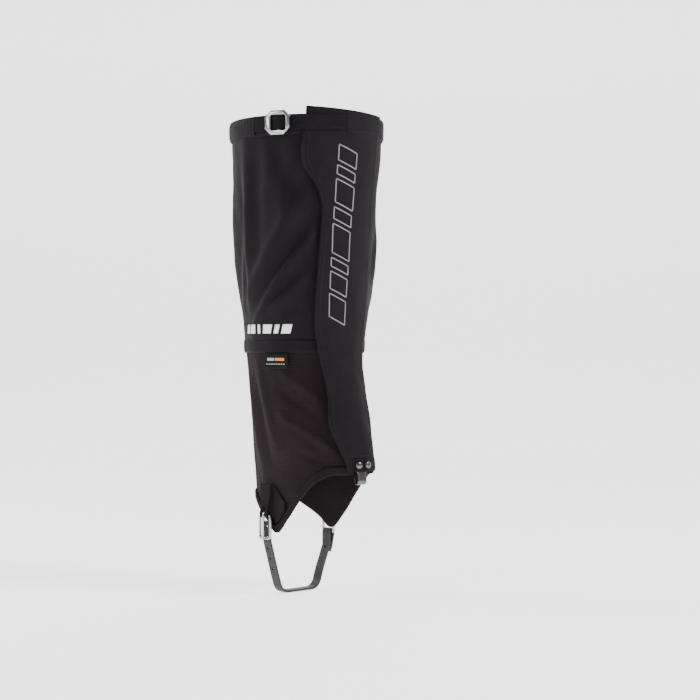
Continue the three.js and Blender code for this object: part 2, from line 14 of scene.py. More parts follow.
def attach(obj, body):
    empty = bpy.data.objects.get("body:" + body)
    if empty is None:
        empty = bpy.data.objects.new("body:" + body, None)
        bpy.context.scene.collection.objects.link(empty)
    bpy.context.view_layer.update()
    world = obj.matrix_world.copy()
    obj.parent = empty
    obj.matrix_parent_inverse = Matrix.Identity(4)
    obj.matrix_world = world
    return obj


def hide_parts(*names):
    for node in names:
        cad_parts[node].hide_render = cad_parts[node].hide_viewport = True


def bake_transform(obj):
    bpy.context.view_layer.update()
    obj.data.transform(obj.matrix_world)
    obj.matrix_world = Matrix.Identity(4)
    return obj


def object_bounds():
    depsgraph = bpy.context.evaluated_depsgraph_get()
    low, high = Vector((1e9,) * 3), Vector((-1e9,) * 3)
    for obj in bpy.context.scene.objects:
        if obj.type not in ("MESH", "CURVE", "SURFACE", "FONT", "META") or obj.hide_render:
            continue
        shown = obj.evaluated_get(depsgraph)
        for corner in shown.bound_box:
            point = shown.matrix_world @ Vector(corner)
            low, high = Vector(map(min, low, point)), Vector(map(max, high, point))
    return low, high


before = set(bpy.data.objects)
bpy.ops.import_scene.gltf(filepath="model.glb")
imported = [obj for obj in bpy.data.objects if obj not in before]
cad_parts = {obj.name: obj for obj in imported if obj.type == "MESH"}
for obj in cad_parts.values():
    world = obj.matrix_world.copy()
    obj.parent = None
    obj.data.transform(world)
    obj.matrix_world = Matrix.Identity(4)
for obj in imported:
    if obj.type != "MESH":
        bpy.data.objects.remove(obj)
cad_box = [list(corner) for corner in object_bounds()]
MM = 0.001

# %% [markdown]
# The leg is a stack of ovals. Each row of the table is a height, the oval's middle, and its half
# depth and half width. Reading the table through a smooth curve gives a body with no corners, and
# every layer of cloth is the same body a little larger. The other tables are the boot hem and the
# free edge of the front flap.

# %% The leg shape, in millimetres
CALF_DEPTH = 168
CALF_WIDTH = 156
RIM_Z = 500
WAIST_Z = 261
LEG = [
    (60, -25.0, 0.458, 0.276), (130, -24.0, 0.450, 0.285), (160, -22.0, 0.435, 0.320),
    (181, -19.2, 0.423, 0.337), (219, -13.5, 0.405, 0.346), (254, -10.1, 0.405, 0.376),
    (303, -11.5, 0.417, 0.423), (403, -12.5, 0.458, 0.474), (500, -14.5, 0.500, 0.500),
]
HEM = [
    (0, 128), (40, 127), (57, 120), (73, 102), (88, 79), (101, 63.5),
    (113, 75), (126, 85), (145, 96), (180, 100),
]
FLAP_EDGE = [
    (131, 27), (151, 31), (180, 37), (212, 33.5), (250, 36.5), (285, 39.5),
    (340, 37), (400, 34.5), (417, 36.5), (432, 42), (447, 49), (462, 51), (508, 48),
]


def lerp(a, b, t):
    return a + (b - a) * t


def along(table, x, column=1):
    """Smooth value from a table whose first column rises."""
    last = len(table) - 1
    if x <= table[0][0]:
        return table[0][column]
    if x >= table[last][0]:
        return table[last][column]
    i = max(k for k in range(last) if table[k][0] <= x)

    def slope(k):
        if k in (0, last):
            return 0
        before = (table[k][column] - table[k - 1][column]) / (table[k][0] - table[k - 1][0])
        after = (table[k + 1][column] - table[k][column]) / (table[k + 1][0] - table[k][0])
        return 0 if before * after <= 0 else 2 * before * after / (before + after)

    width = table[i + 1][0] - table[i][0]
    t = (x - table[i][0]) / width
    value = lerp(table[i][column], table[i + 1][column], t * t * (3 - 2 * t))
    return value + width * t * (1 - t) * ((1 - t) * slope(i) - t * slope(i + 1))


def smooth(low, high, x):
    t = min(max((x - low) / (high - low), 0), 1)
    return t * t * (3 - 2 * t)


def leg(deg, z, out=0.0):
    """Point on the leg in millimetres: degrees from the front, height, offset outwards."""
    turn = math.radians(deg)
    depth = along(LEG, z, 2) * CALF_DEPTH + out
    width = along(LEG, z, 3) * CALF_WIDTH + out
    return Vector((-width * math.sin(turn), along(LEG, z, 1) - depth * math.cos(turn), z))


def seat(deg, z, out=0.0, upright=False):
    """A frame on the leg: X runs round to the back, Y points out, Z runs up. In metres."""
    step = 0.5
    round_ = (leg(deg + step, z) - leg(deg - step, z)).normalized()
    up = Vector((0, 0, 1)) if upright else (leg(deg, z + step) - leg(deg, z - step)).normalized()
    outward = up.cross(round_).normalized()
    up = round_.cross(outward)
    turned = Matrix((round_, outward, up)).transposed().to_4x4()
    return Matrix.Translation(leg(deg, z, out) * MM) @ turned


def hem_z(deg):
    return along(HEM, abs(deg))


def flap_edge(z):
    return along(FLAP_EDGE, z)


rim_points = [leg(deg, RIM_Z) for deg in range(0, 361, 5)]
girth = sum((after - before).length for before, after in zip(rim_points, rim_points[1:]))
print("girth at the rim:", round(girth), "mm")

# %% [markdown]
# The camera stands level with the calf, in front of the toe on the outer side. A long lens keeps
# the rim and the hem nearly parallel.

# %% Camera
BACK = Vector((1, 1, 0)).normalized()
RIGHT = Vector((1, -1, 0)).normalized()
CAMERA_AWAY = 1.9
CAMERA_UP = 0.26
FRAME_SHIFT = (0.0751, -0.0039)


def aim(thing, towards):
    thing.rotation_euler = Vector(towards).to_track_quat("-Z", "Y").to_euler()


camera_data = bpy.data.cameras.new("camera")
camera_data.lens = 90.5
camera_data.sensor_width = 36
camera = bpy.data.objects.new("camera", camera_data)
camera_data.shift_x, camera_data.shift_y = FRAME_SHIFT
camera.location = Vector((0, 0, CAMERA_UP)) - BACK * CAMERA_AWAY
aim(camera, BACK)
bpy.context.collection.objects.link(camera)
bpy.context.scene.camera = camera
print("camera:", [round(value, 3) for value in camera.location])

# %% [markdown]
# Nearly black cloth only shows its shape where a light grazes it, so one strong lamp stands in
# front and to the side, and a second one draws a line down the back edge. The floor bends up into
# a wall, so that no horizon is seen behind the gaiter.


# %% Lights and floor
LIGHT_AIM_Z = 0.28


def soft_light(name, place, power, size):
    data = bpy.data.lights.new(name, "AREA")
    data.energy = power
    data.size = size
    light = bpy.data.objects.new(name, data)
    light.location = place
    aim(light, Vector((0, 0, LIGHT_AIM_Z)) - Vector(place))
    bpy.context.collection.objects.link(light)


soft_light("key_light", (0.7, -1.9, 1.8), 60, 0.55)
soft_light("fill_light", (-2.2, 0.4, 1.2), 14, 0.8)
soft_light("rim_light", (-0.9, 1.7, 1.5), 26, 0.8)

world = bpy.data.worlds.new("studio")
world.use_nodes = True
world.node_tree.nodes["Background"].inputs["Color"].default_value = (1, 1, 1, 1)
world.node_tree.nodes["Background"].inputs["Strength"].default_value = 0.40
bpy.context.scene.world = world

FLOOR_Z = cad_box[0][2] - 0.0006
FLOOR_FRONT = -5
FLOOR_END = 9
FLOOR_WIDE = 16
SWEEP_BACK = 3.0
SWEEP_RADIUS = 1.2


def sweep_at(along_floor):
    """Floor that runs back, then curves up into a wall: (distance back, height) in metres."""
    bend = SWEEP_RADIUS * math.pi / 2
    past = along_floor - SWEEP_BACK
    if past < 0:
        return along_floor, FLOOR_Z
    if past < bend:
        turn = past / SWEEP_RADIUS
        return (SWEEP_BACK + SWEEP_RADIUS * math.sin(turn),
                FLOOR_Z + SWEEP_RADIUS * (1 - math.cos(turn)))
    return SWEEP_BACK + SWEEP_RADIUS, FLOOR_Z + SWEEP_RADIUS + past - bend


floor_mesh = bpy.data.meshes.new("floor")
shape = bmesh.new()
bmesh.ops.create_grid(shape, x_segments=1, y_segments=80, size=0.5)
for vert in shape.verts:
    run_back, height = sweep_at(lerp(FLOOR_FRONT, FLOOR_END, vert.co.y + 0.5))
    vert.co = RIGHT * vert.co.x * FLOOR_WIDE + BACK * run_back + Vector((0, 0, height))
for face in shape.faces:
    face.smooth = True
shape.to_mesh(floor_mesh)
shape.free()
floor = bpy.data.objects.new("floor", floor_mesh)
bpy.context.collection.objects.link(floor)
floor_look = bpy.data.materials.new("pale floor")
floor_look.use_nodes = True
floor_shader = floor_look.node_tree.nodes["Principled BSDF"]
floor_shader.inputs["Base Color"].default_value = (0.9, 0.9, 0.9, 1)
floor_shader.inputs["Roughness"].default_value = 0.9
floor_shader.inputs["Emission Color"].default_value = (1, 1, 1, 1)
floor_shader.inputs["Emission Strength"].default_value = 1.6
floor_mesh.materials.append(floor_look)
print("floor at", round(FLOOR_Z * 1000, 1), "mm")

# %% [markdown]
# Finishes. Every material is a small graph: a pattern that gives height for the bump, and a slow
# noise that shifts colour and roughness so that no surface is one flat value. Cloth patterns read
# the piece's own UV map, which is laid out in millimetres, so that threads keep their real size.


# %% Helpers for materials
def material(name, color, roughness, metallic=0.0, sheen=0.0, specular=0.5):
    look = bpy.data.materials.new(name)
    look.use_nodes = True
    shader = look.node_tree.nodes["Principled BSDF"]
    shader.inputs["Base Color"].default_value = (*color, 1)
    shader.inputs["Roughness"].default_value = roughness
    shader.inputs["Metallic"].default_value = metallic
    shader.inputs["Sheen Weight"].default_value = sheen
    shader.inputs["Sheen Roughness"].default_value = 0.45
    shader.inputs["Specular IOR Level"].default_value = specular
    return look, look.node_tree, shader


def math_node(tree, operation, first, second=None):
    node = tree.nodes.new("ShaderNodeMath")
    node.operation = operation
    for slot, value in enumerate((first, second)):
        if value is None:
            continue
        if isinstance(value, (int, float)):
            node.inputs[slot].default_value = value
        else:
            tree.links.new(value, node.inputs[slot])
    return node.outputs[0]


def uv_axes(tree):
    place = tree.nodes.new("ShaderNodeUVMap")
    place.uv_map = "UVMap"
    split = tree.nodes.new("ShaderNodeSeparateXYZ")
    tree.links.new(place.outputs["UV"], split.inputs[0])
    return split.outputs["X"], split.outputs["Y"]


def wave(tree, axis, pitch):
    """A height from 0 to 1 that repeats every pitch millimetres along an axis."""
    sine = math_node(tree, "SINE", math_node(tree, "MULTIPLY", axis, 2 * math.pi / pitch))
    return math_node(tree, "MULTIPLY", math_node(tree, "ADD", sine, 1), 0.5)


def cloudy(tree, scale, detail=3.0):
    where = tree.nodes.new("ShaderNodeTexCoord")
    cloud = tree.nodes.new("ShaderNodeTexNoise")
    cloud.inputs["Scale"].default_value = scale
    cloud.inputs["Detail"].default_value = detail
    tree.links.new(where.outputs["Object"], cloud.inputs["Vector"])
    return cloud.outputs["Fac"]


def vary(tree, shader, socket, factor, low, high):
    """Links a socket to a value that runs from low to high with the factor."""
    if isinstance(low, tuple):
        mix = tree.nodes.new("ShaderNodeMix")
        mix.data_type = "RGBA"
        mix.inputs["A"].default_value = (*low, 1)
        mix.inputs["B"].default_value = (*high, 1)
        tree.links.new(factor, mix.inputs["Factor"])
        tree.links.new(mix.outputs["Result"], shader.inputs[socket])
    else:
        spread = tree.nodes.new("ShaderNodeMapRange")
        spread.inputs["To Min"].default_value = low
        spread.inputs["To Max"].default_value = high
        tree.links.new(factor, spread.inputs["Value"])
        tree.links.new(spread.outputs["Result"], shader.inputs[socket])


def bump(tree, shader, height, distance):
    node = tree.nodes.new("ShaderNodeBump")
    node.inputs["Distance"].default_value = distance * MM
    node.inputs["Strength"].default_value = 1.0
    tree.links.new(height, node.inputs["Height"])
    tree.links.new(node.outputs["Normal"], shader.inputs["Normal"])


# %% [markdown]
# Two cloths make the gaiter. The upper one is a close plain weave that looks nearly smooth. The
# lower one is a coarse hard-wearing weave, a shade browner, with weft ribs that can be seen.

# %% Cloth, webbing and tape
def woven(name, color, warp, weft, depth, roughness, sheen, patch):
    """Cloth with its warp and weft in millimetres; patch is how much its colour drifts."""
    look, tree, shader = material(name, color, roughness, sheen=sheen, specular=0.09)
    across, up = uv_axes(tree)
    threads = math_node(tree, "MULTIPLY", wave(tree, across, warp), wave(tree, up, weft))
    grain = cloudy(tree, 900, 2)
    height = math_node(tree, "ADD", threads, math_node(tree, "MULTIPLY", grain, 0.6))
    bump(tree, shader, height, depth)
    shade = math_node(tree, "ADD", math_node(tree, "MULTIPLY", threads, 0.45),
                      math_node(tree, "MULTIPLY", cloudy(tree, 38), 0.75))
    dark = tuple(c * (1 - patch) for c in color)
    light = tuple(c * (1 + patch) for c in color)
    vary(tree, shader, "Base Color", shade, dark, light)
    vary(tree, shader, "Roughness", cloudy(tree, 60), roughness - 0.08, min(roughness + 0.08, 1))
    return look


upper_cloth = woven("upper cloth", (0.0078, 0.0060, 0.0076), 0.8, 0.8, 0.10, 0.70, 0.01, 0.22)
lower_cloth = woven("lower cloth", (0.0125, 0.0080, 0.0100), 1.3, 2.2, 0.34, 0.84, 0.01, 0.42)
trim_cloth = woven("trim cloth", (0.0068, 0.0054, 0.0066), 0.9, 0.9, 0.12, 0.76, 0.01, 0.25)
webbing_look = woven("webbing", (0.0076, 0.0062, 0.0074), 1.4, 2.4, 0.42, 0.80, 0.01, 0.40)
tape_look = woven("hook and loop tape", (0.0060, 0.0060, 0.0066), 1.2, 1.2, 0.60, 0.95, 0.02, 0.5)
label_look = woven("label cloth", (0.0070, 0.0068, 0.0072), 0.6, 0.6, 0.06, 0.7, 0.02, 0.25)
thread_look = woven("sewing thread", (0.022, 0.020, 0.022), 0.4, 0.4, 0.05, 0.7, 0.02, 0.3)
print("cloths:", [look.name for look in (upper_cloth, lower_cloth, trim_cloth, webbing_look)])

# %% [markdown]
# Print is a thin skin of ink with worn grains. The ring is bright plated steel, the hook and the
# rivets are darker nickel, and the strap is dull moulded rubber. Fine noise in the roughness makes
# handled metal look handled, where a single value would look like plastic.


# %% Print, rubber and metal
def print_ink(name, color):
    look, tree, shader = material(name, color, 0.62)
    wear = cloudy(tree, 420, 4)
    vary(tree, shader, "Base Color", wear, tuple(c * 0.78 for c in color), color)
    bump(tree, shader, wear, 0.03)
    return look


grey_ink = print_ink("grey print", (0.19, 0.19, 0.195))
white_ink = print_ink("white print", (0.86, 0.86, 0.86))
orange_ink = print_ink("orange thread", (0.72, 0.21, 0.03))
ash_ink = print_ink("pale grey thread", (0.38, 0.38, 0.38))


def metal(name, color, roughness, scratch):
    look, tree, shader = material(name, color, roughness, metallic=1.0)
    fine = cloudy(tree, 1400, 5)
    vary(tree, shader, "Roughness", fine, roughness - 0.06, roughness + 0.10)
    vary(tree, shader, "Base Color", cloudy(tree, 120), tuple(c * 0.9 for c in color), color)
    bump(tree, shader, fine, scratch)
    return look


ring_metal = metal("ring steel", (0.40, 0.39, 0.40), 0.19, 0.010)
wire_metal = metal("wire chrome", (0.36, 0.36, 0.37), 0.12, 0.006)
hook_metal = metal("nickel hook", (0.12, 0.116, 0.118), 0.26, 0.012)

rubber_look, rubber_tree, rubber_shader = material(
    "strap rubber", (0.022, 0.020, 0.022), 0.5, specular=0.25)
pebble = cloudy(rubber_tree, 1500, 2)
bump(rubber_tree, rubber_shader, pebble, 0.05)
vary(rubber_tree, rubber_shader, "Base Color", cloudy(rubber_tree, 90), (0.016, 0.0148, 0.016),
     (0.030, 0.028, 0.030))
vary(rubber_tree, rubber_shader, "Roughness", cloudy(rubber_tree, 200), 0.42, 0.6)
print("materials:", len(bpy.data.materials))

# %% [markdown]
# One helper lays every sheet: a grid whose corners run from 0 to 1 is moved onto a surface, and
# gets a UV map in millimetres. Solidify gives the cloth its thickness, and a bevel eases the edges
# of webbing and bars. A cloth simulation could drape the sheets, but this cloth is held tight on
# all sides, so a surface with its folds put in one by one is closer and is the same on each run.


# %% Helpers for pieces
LEG_MIDDLE = Vector((0, -0.02, 0))


def add_object(name, shape, look, body, replaces=()):
    mesh = bpy.data.meshes.new(name)
    for face in shape.faces:
        face.smooth = True
    shape.to_mesh(mesh)
    shape.free()
    mesh.materials.append(look)
    thing = bpy.data.objects.new(name, mesh)
    bpy.context.collection.objects.link(thing)
    if body:
        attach(thing, body)
    if replaces:
        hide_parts(*replaces)
    return thing


def laid_grid(at, across, up, size, outward=None, flat=None):
    """A grid on the surface at(u, v), in millimetres. size, or flat(u, v), gives the UV map.

    The grid faces outward, which is away from the leg's middle if nothing else is said.
    """
    shape = bmesh.new()
    bmesh.ops.create_grid(shape, x_segments=across, y_segments=up, size=0.5)
    uv = shape.loops.layers.uv.new("UVMap")
    spot = {vert: (vert.co.x + 0.5, vert.co.y + 0.5) for vert in shape.verts}
    for face in shape.faces:
        for loop in face.loops:
            u, v = spot[loop.vert]
            loop[uv].uv = flat(u, v) if flat else (u * size[0], v * size[1])
    for vert, (u, v) in spot.items():
        vert.co = at(u, v) * MM
    shape.normal_update()
    shape.faces.ensure_lookup_table()
    middle = shape.faces[len(shape.faces) // 2]
    if outward is None:
        outward = middle.calc_center_median() - LEG_MIDDLE
        outward.z = 0
    if middle.normal.dot(outward) < 0:
        bmesh.ops.reverse_faces(shape, faces=shape.faces)
    return shape


def thicken(thing, thickness, offset=-1.0):
    wall = thing.modifiers.new("thickness", "SOLIDIFY")
    wall.thickness = thickness * MM
    wall.offset = offset
    return thing


def ease_edges(thing, width, segments, angle=30):
    """Bevels the edges that turn by more than angle degrees."""
    edge = thing.modifiers.new("eased edges", "BEVEL")
    edge.width = width * MM
    edge.segments = segments
    edge.limit_method = "ANGLE"
    edge.angle_limit = math.radians(angle)


def cloth_piece(name, at, across, up, size, look, body, replaces=(), thick=0.9, flat=None):
    shape = laid_grid(at, across, up, size, flat=flat)
    return thicken(add_object(name, shape, look, body, replaces), thick)


# %% [markdown]
# The gaiter is sewn with thick thread. Each stitch is a small long ball laid along the seam, so it
# stands up from the cloth and catches light. A painted line would look flat from close by.

# %% Stitches
THREAD_LONG = 0.36  # half of a stitch, as a share of the pitch
THREAD_R = 0.27


def stitch_row(name, points, body, pitch=2.6):
    """Short raised threads along a line of points in millimetres, as one piece."""
    shape = bmesh.new()
    reach = 0.0
    for start, end in zip(points, points[1:]):
        span = (end - start).length
        while reach < span:
            middle = start.lerp(end, reach / span)
            lie = (end - start).to_track_quat("X", "Z").to_matrix().to_4x4()
            size = Matrix.Diagonal((pitch * THREAD_LONG * MM, THREAD_R * MM, THREAD_R * MM, 1))
            matrix = Matrix.Translation(middle * MM) @ lie @ size
            bmesh.ops.create_uvsphere(shape, u_segments=6, v_segments=4, radius=1, matrix=matrix)
            reach += pitch
        reach -= span
    shape.loops.layers.uv.new("UVMap")
    return add_object(name, shape, thread_look, body)


# %% [markdown]
# Cloth on a leg is never quite round. Long soft folds run from the narrow shin up to the calf,
# where the strap pulls, and short creases gather above the boot. Each fold is a line on the leg
# with a width and a height, and a slow noise keeps the rest from looking turned on a lathe.

# %% Folds in the cloth
# (degrees, height) of both ends, then the fold's width and height in millimetres
UPPER_FOLDS = [
    (98, 286, 38, 378, 8, 5.4), (100, 276, 40, 338, 6, 3.8), (104, 312, 44, 424, 9, 4.6),
    (94, 300, 40, 398, 6, -3.4), (96, 280, 42, 358, 5, -2.4), (90, 340, 88, 476, 8, -2.6),
    (104, 330, 100, 470, 7, 3.2), (74, 476, 50, 404, 11, -3.8), (60, 470, 66, 380, 8, 2.4),
    (112, 296, 108, 430, 6, -1.6), (80, 300, 54, 316, 5, 1.6),
    (150, 300, 128, 430, 12, 4.0), (172, 350, 150, 478, 11, -2.6), (136, 290, 112, 400, 8, -2.0),
    (-60, 290, -36, 400, 10, 3.8), (-100, 300, -66, 440, 12, 4.2), (-140, 284, -118, 420, 12, 3.8),
    (-32, 330, -46, 476, 8, -2.4), (-84, 300, -52, 420, 7, -2.4), (-160, 330, -140, 470, 10, 2.6),
]
LOWER_FOLDS = [
    (72, 232, 40, 204, 6, 2.6), (80, 214, 44, 186, 6, -2.2), (62, 174, 33, 150, 6, 2.4),
    (74, 150, 44, 136, 5, -1.8), (104, 240, 94, 150, 8, 2.4), (128, 236, 120, 130, 9, 2.8),
    (160, 240, 152, 116, 10, 2.6), (86, 190, 56, 172, 5, 1.8), (112, 220, 106, 140, 6, -1.8),
    (-46, 236, -34, 156, 7, 2.6), (-80, 240, -70, 136, 9, 2.8), (-120, 236, -112, 120, 10, 2.8),
    (-60, 156, -36, 142, 5, -1.8), (-160, 240, -150, 116, 10, 2.6), (-98, 220, -92, 140, 6, -1.8),
]
ROUND_MM = 1.32  # a degree round the leg, in millimetres
FOLD_FLOOR = -3.2  # no hollow goes deeper, or the cloth would cut into the leg


def fold_lift(folds, deg, z):
    lift = 0.0
    for deg0, z0, deg1, z1, width, height in folds:
        line = Vector(((deg1 - deg0) * ROUND_MM, z1 - z0))
        here = Vector(((deg - deg0) * ROUND_MM, z - z0))
        t = here.dot(line) / line.length_squared
        if not -0.25 < t < 1.25:
            continue
        aside = (here - line * t).length / width
        ends = smooth(-0.25, 0.25, t) * (1 - smooth(0.7, 1.25, t))
        lift += height * ends * math.exp(-aside * aside)
    slow = noise.noise(Vector((deg * 0.035, z * 0.016, 3.1)))
    quick = noise.noise(Vector((deg * 0.10, z * 0.05, 7.7)))
    return lift + 1.3 * slow + 0.5 * quick


print("folds:", len(UPPER_FOLDS), "above and", len(LOWER_FOLDS), "below")

# %% [markdown]
# The shell is four panels: an upper and a lower one on each side, meeting at the back seam and at
# the waist. Each is one fine grid on the leg shape. Folds die out at the hems, at the seams and
# under the flap, because there the cloth is held flat by what is sewn to it.

# %% Shell panels
FLAP_SEAM = -16
FLAP_IN = 3.75
FLAP_OUT = 5.05
EDGES = {"outer": (-8, 179.7), "inner": (-14.5, -179.7)}


def held_flat(deg, z, low, high):
    ends = smooth(0, 14, z - low) * smooth(0, 14, high - z)
    back = smooth(0, 9, 180 - abs(deg))
    if deg > 0:
        front = smooth(-4, 7, deg - flap_edge(z))
    else:
        front = smooth(0, 10, FLAP_SEAM - 8 - deg)
    return ends * back * front


def held_lift(folds, deg, z, low, high):
    """Height of the folds where the cloth hangs free, and nothing where it is held."""
    return max(fold_lift(folds, deg, z), FOLD_FLOOR) * held_flat(deg, z, low, high)


def panel_at(side, low, high, folds, out):
    start, end = EDGES[side]

    def at(u, v):
        deg = lerp(start, end, u)
        bottom = low(deg) if callable(low) else low
        z = lerp(bottom, high, v)
        return leg(deg, z, out + held_lift(folds, deg, z, bottom, high))

    return at


def panel_flat(side, low, high):
    """The panel's UV: millimetres round the leg, and height, so the weft runs level."""
    start, end = EDGES[side]

    def flat(u, v):
        deg = lerp(start, end, u)
        bottom = low(deg) if callable(low) else low
        return deg * ROUND_MM, lerp(bottom, high, v)

    return flat


for side in EDGES:
    upper = cloth_piece(
        f"upper_{side}_cloth", panel_at(side, WAIST_Z - 6, RIM_Z, UPPER_FOLDS, 0),
        150, 90, None, upper_cloth, "shell", [f"upper_{side}_panel"],
        flat=panel_flat(side, WAIST_Z - 6, RIM_Z))
    lower = cloth_piece(
        f"lower_{side}_cloth", panel_at(side, hem_z, WAIST_Z + 4, LOWER_FOLDS, -1.0),
        140, 70, None, lower_cloth, "shell", [f"lower_{side}_panel"],
        flat=panel_flat(side, hem_z, WAIST_Z + 4))
    print("panels:", upper.name, lower.name)

# %% [markdown]
# Hems and bands are folded cloth, so their long edges are round. A profile that falls off at both
# edges gives that, and a fine ripple along the band is the pucker that a row of stitches pulls in.


# %% Bands, hems and tapes
PUCKER_PITCH = 5.0
BAND_TALL = 20  # height of a band's UV map


def rounded(v, height, lean=0.0):
    """Height of a folded band across its width. Lean lowers its upper edge."""
    return height * (1 - abs(2 * v - 1) ** 6) * (1 - lean * v)


def band_at(start, end, low, high, inner, height, pucker, lean):
    def at(u, v):
        deg = lerp(start, end, u)
        bottom = low(deg) if callable(low) else low
        top = high(deg) if callable(high) else high
        z = lerp(bottom, top, v)
        uneven = 2 * noise.noise(Vector((deg * 0.2, 0, 0)))
        ripple = pucker * math.sin(deg * ROUND_MM * 2 * math.pi / PUCKER_PITCH + uneven)
        return leg(deg, z, inner + rounded(v, height, lean) + ripple * (1 - abs(2 * v - 1)))

    return at


def band(name, start, end, low, high, inner, height, look, replaces,
         pucker=0.0, up=8, lean=0.0):
    count = max(8, int(abs(end - start) * 1.1))
    size = (abs(end - start) * ROUND_MM, BAND_TALL)
    at = band_at(start, end, low, high, inner, height, pucker, lean)
    return cloth_piece(name, at, count, up, size, look, "shell", replaces)


def hem_top(deg):
    return hem_z(deg) + 9


def leg_line(degs, z, out):
    """Points on the leg for a row of stitches."""
    level = z if callable(z) else (lambda deg: z)
    return [leg(deg, level(deg), out) for deg in degs]


def steps(start, end, count):
    return [lerp(start, end, i / count) for i in range(count + 1)]


BACK_BAND = 175.4
# degrees where the waist band, the top hem and the hem facing start
BAND_FRONTS = {"outer": (16, -8, 18.5), "inner": (-23.4, -23.4, -19)}
for side, sign in (("outer", 1), ("inner", -1)):
    back = sign * BACK_BAND
    front, hem_front, low_front = BAND_FRONTS[side]
    band(f"{side}_waist_band", front, back, WAIST_Z - 7, WAIST_Z + 7, 0.3, 0.95, upper_cloth,
         [f"waist_band_{side}"], pucker=0.16, lean=0.6)
    band(f"{side}_top_hem", hem_front, back, RIM_Z - 21, RIM_Z + 0.3, 0.3, 0.9, upper_cloth,
         [f"top_hem_{side}"], pucker=0.08)
    band(f"{side}_hem_facing", low_front, back, hem_z, hem_top, 0.3, 1.0, lower_cloth,
         [f"hem_facing_{side}"], pucker=0.12)
    for row, z, out in (("upper", WAIST_Z + 4.6, 0.86), ("lower", WAIST_Z - 4.6, 1.24)):
        stitch_row(f"{side}_waist_stitch_{row}", leg_line(steps(front, back, 90), z, out), "shell")
    stitch_row(f"{side}_top_stitch", leg_line(steps(hem_front, back, 90), RIM_Z - 18.4, 1.22),
               "shell")
    stitch_row(f"{side}_hem_stitch",
               leg_line(steps(low_front, back, 120), lambda deg: hem_z(deg) + 7, 1.35), "shell")

band("back_tape", 176.6, 183.4, 100, RIM_Z, 0.5, 1.2, trim_cloth, ["back_seam_tape"], up=60)
band("seam_binding", -16.4, -23.5, 129.5, RIM_Z, 0.4, 1.1, trim_cloth, ["flap_seam_binding"],
     up=60)
TAPE_FROM, TAPE_TO = -8, 12
TAPE_LOW, TAPE_TOP = 155, 478.5
band("loop_side_tape", TAPE_FROM, TAPE_TO, TAPE_LOW, TAPE_TOP, 0.45, 1.15, tape_look,
     ["loop_tape"], up=60)
TAPE_STITCH_OUT = 1.72
for name, deg in (("back_stitch_left", 177.6), ("back_stitch_right", 182.4)):
    stitch_row(name, [leg(deg, z, TAPE_STITCH_OUT) for z in steps(104, 476, 40)], "shell")
stitch_row("binding_stitch", [leg(-19.0, z, TAPE_STITCH_OUT) for z in steps(142, 496, 40)], "shell")
print("pieces so far:", len(bpy.data.meshes))

# %% [markdown]
# The front flap is the one panel with a free edge, so it is the one that shows how stiff the
# cloth is. It lies close at the seam, stands off the shell towards its edge, and its edge is turned
# under and stitched twice.

# %% Front flap
FLAP_LOW_Z = 131
FLAP_CORNER = 48
FLAP_RISE = 7


def flap_top(deg):
    """The flap's upper edge climbs from the seam to its free corner."""
    share = min(max((deg - FLAP_SEAM) / (FLAP_CORNER - FLAP_SEAM), 0), 1)
    return RIM_Z + 1 + FLAP_RISE * share


# height at the front, slope in millimetres a degree, width, height
FLAP_CREASES = [
    (182, 0.7, 6, 1.3), (206, 0.5, 7, 1.0), (226, 0.9, 9, 1.1), (160, 0.4, 5, -0.7),
    (255, -0.5, 12, 0.8), (330, 0.6, 16, 0.7), (420, -0.5, 14, 0.8),
]


def flap_lift(deg, z, u):
    wide = noise.noise(Vector((deg * 0.05, z * 0.012, 11.0)))
    ease = smooth(0.05, 0.5, u) * smooth(0, 25, z - FLAP_LOW_Z) * smooth(0, 30, RIM_Z - z)
    edge = smooth(0.86, 1.0, u)
    creases = sum(height * math.exp(-((z - level - slope * deg) / width) ** 2)
                  for level, slope, width, height in FLAP_CREASES)
    return ease * (0.35 + 1.1 * wide + creases) + edge * (0.5 + 0.5 * math.sin(z * 0.045))


SEAM_DIP = 3.1  # how far the flap dips to the shell where it is sewn on
SEAM_OVERLAP = 2.2


def edge_roll(u):
    """The turned free edge rolls in by this much."""
    return 0.9 * smooth(0.965, 1.0, u) ** 2


def flap_place(u, v):
    top = flap_top(lerp(FLAP_SEAM, FLAP_CORNER, u))
    z = lerp(FLAP_LOW_Z, top, v)
    deg = lerp(FLAP_SEAM - SEAM_OVERLAP, flap_edge(z), u)
    dip = SEAM_DIP * (1 - smooth(0.0, 0.075, u))
    return leg(deg, z, FLAP_OUT + flap_lift(deg, z, u) - edge_roll(u) - dip)


def flap_point(deg, z, out):
    """Point on the flap's outer face for a print or a stitch."""
    u = (deg - FLAP_SEAM) / (flap_edge(z) - FLAP_SEAM)
    return leg(deg, z, FLAP_OUT + flap_lift(deg, z, u) - edge_roll(u) + out)


def on_flap(thing):
    """Bakes a flap piece's placement into its mesh."""
    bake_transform(thing)
    return thing


def flap_piece(name, at, across, up, size, look, replaces=(), thick=0.9):
    shape = laid_grid(at, across, up, size)
    thing = add_object(name, shape, look, None, replaces)
    return on_flap(thicken(thing, thick))


flap_cloth = flap_piece("flap_cloth", flap_place, 56, 200, (75, 375), upper_cloth,
                        ["front_flap"], 1.1)


print("flap:", len(flap_cloth.data.polygons), "faces")

# %% [markdown]
# On the flap are two rows of edge stitches, a folded band along its top, a reinforcing patch where
# the lace hook is riveted, and the hook tape on its back. All of them are laid on the flap's own
# surface.


# %% Bands, tape and stitches on the flap
def flap_stitches(name, points):
    return on_flap(stitch_row(name, points, None))


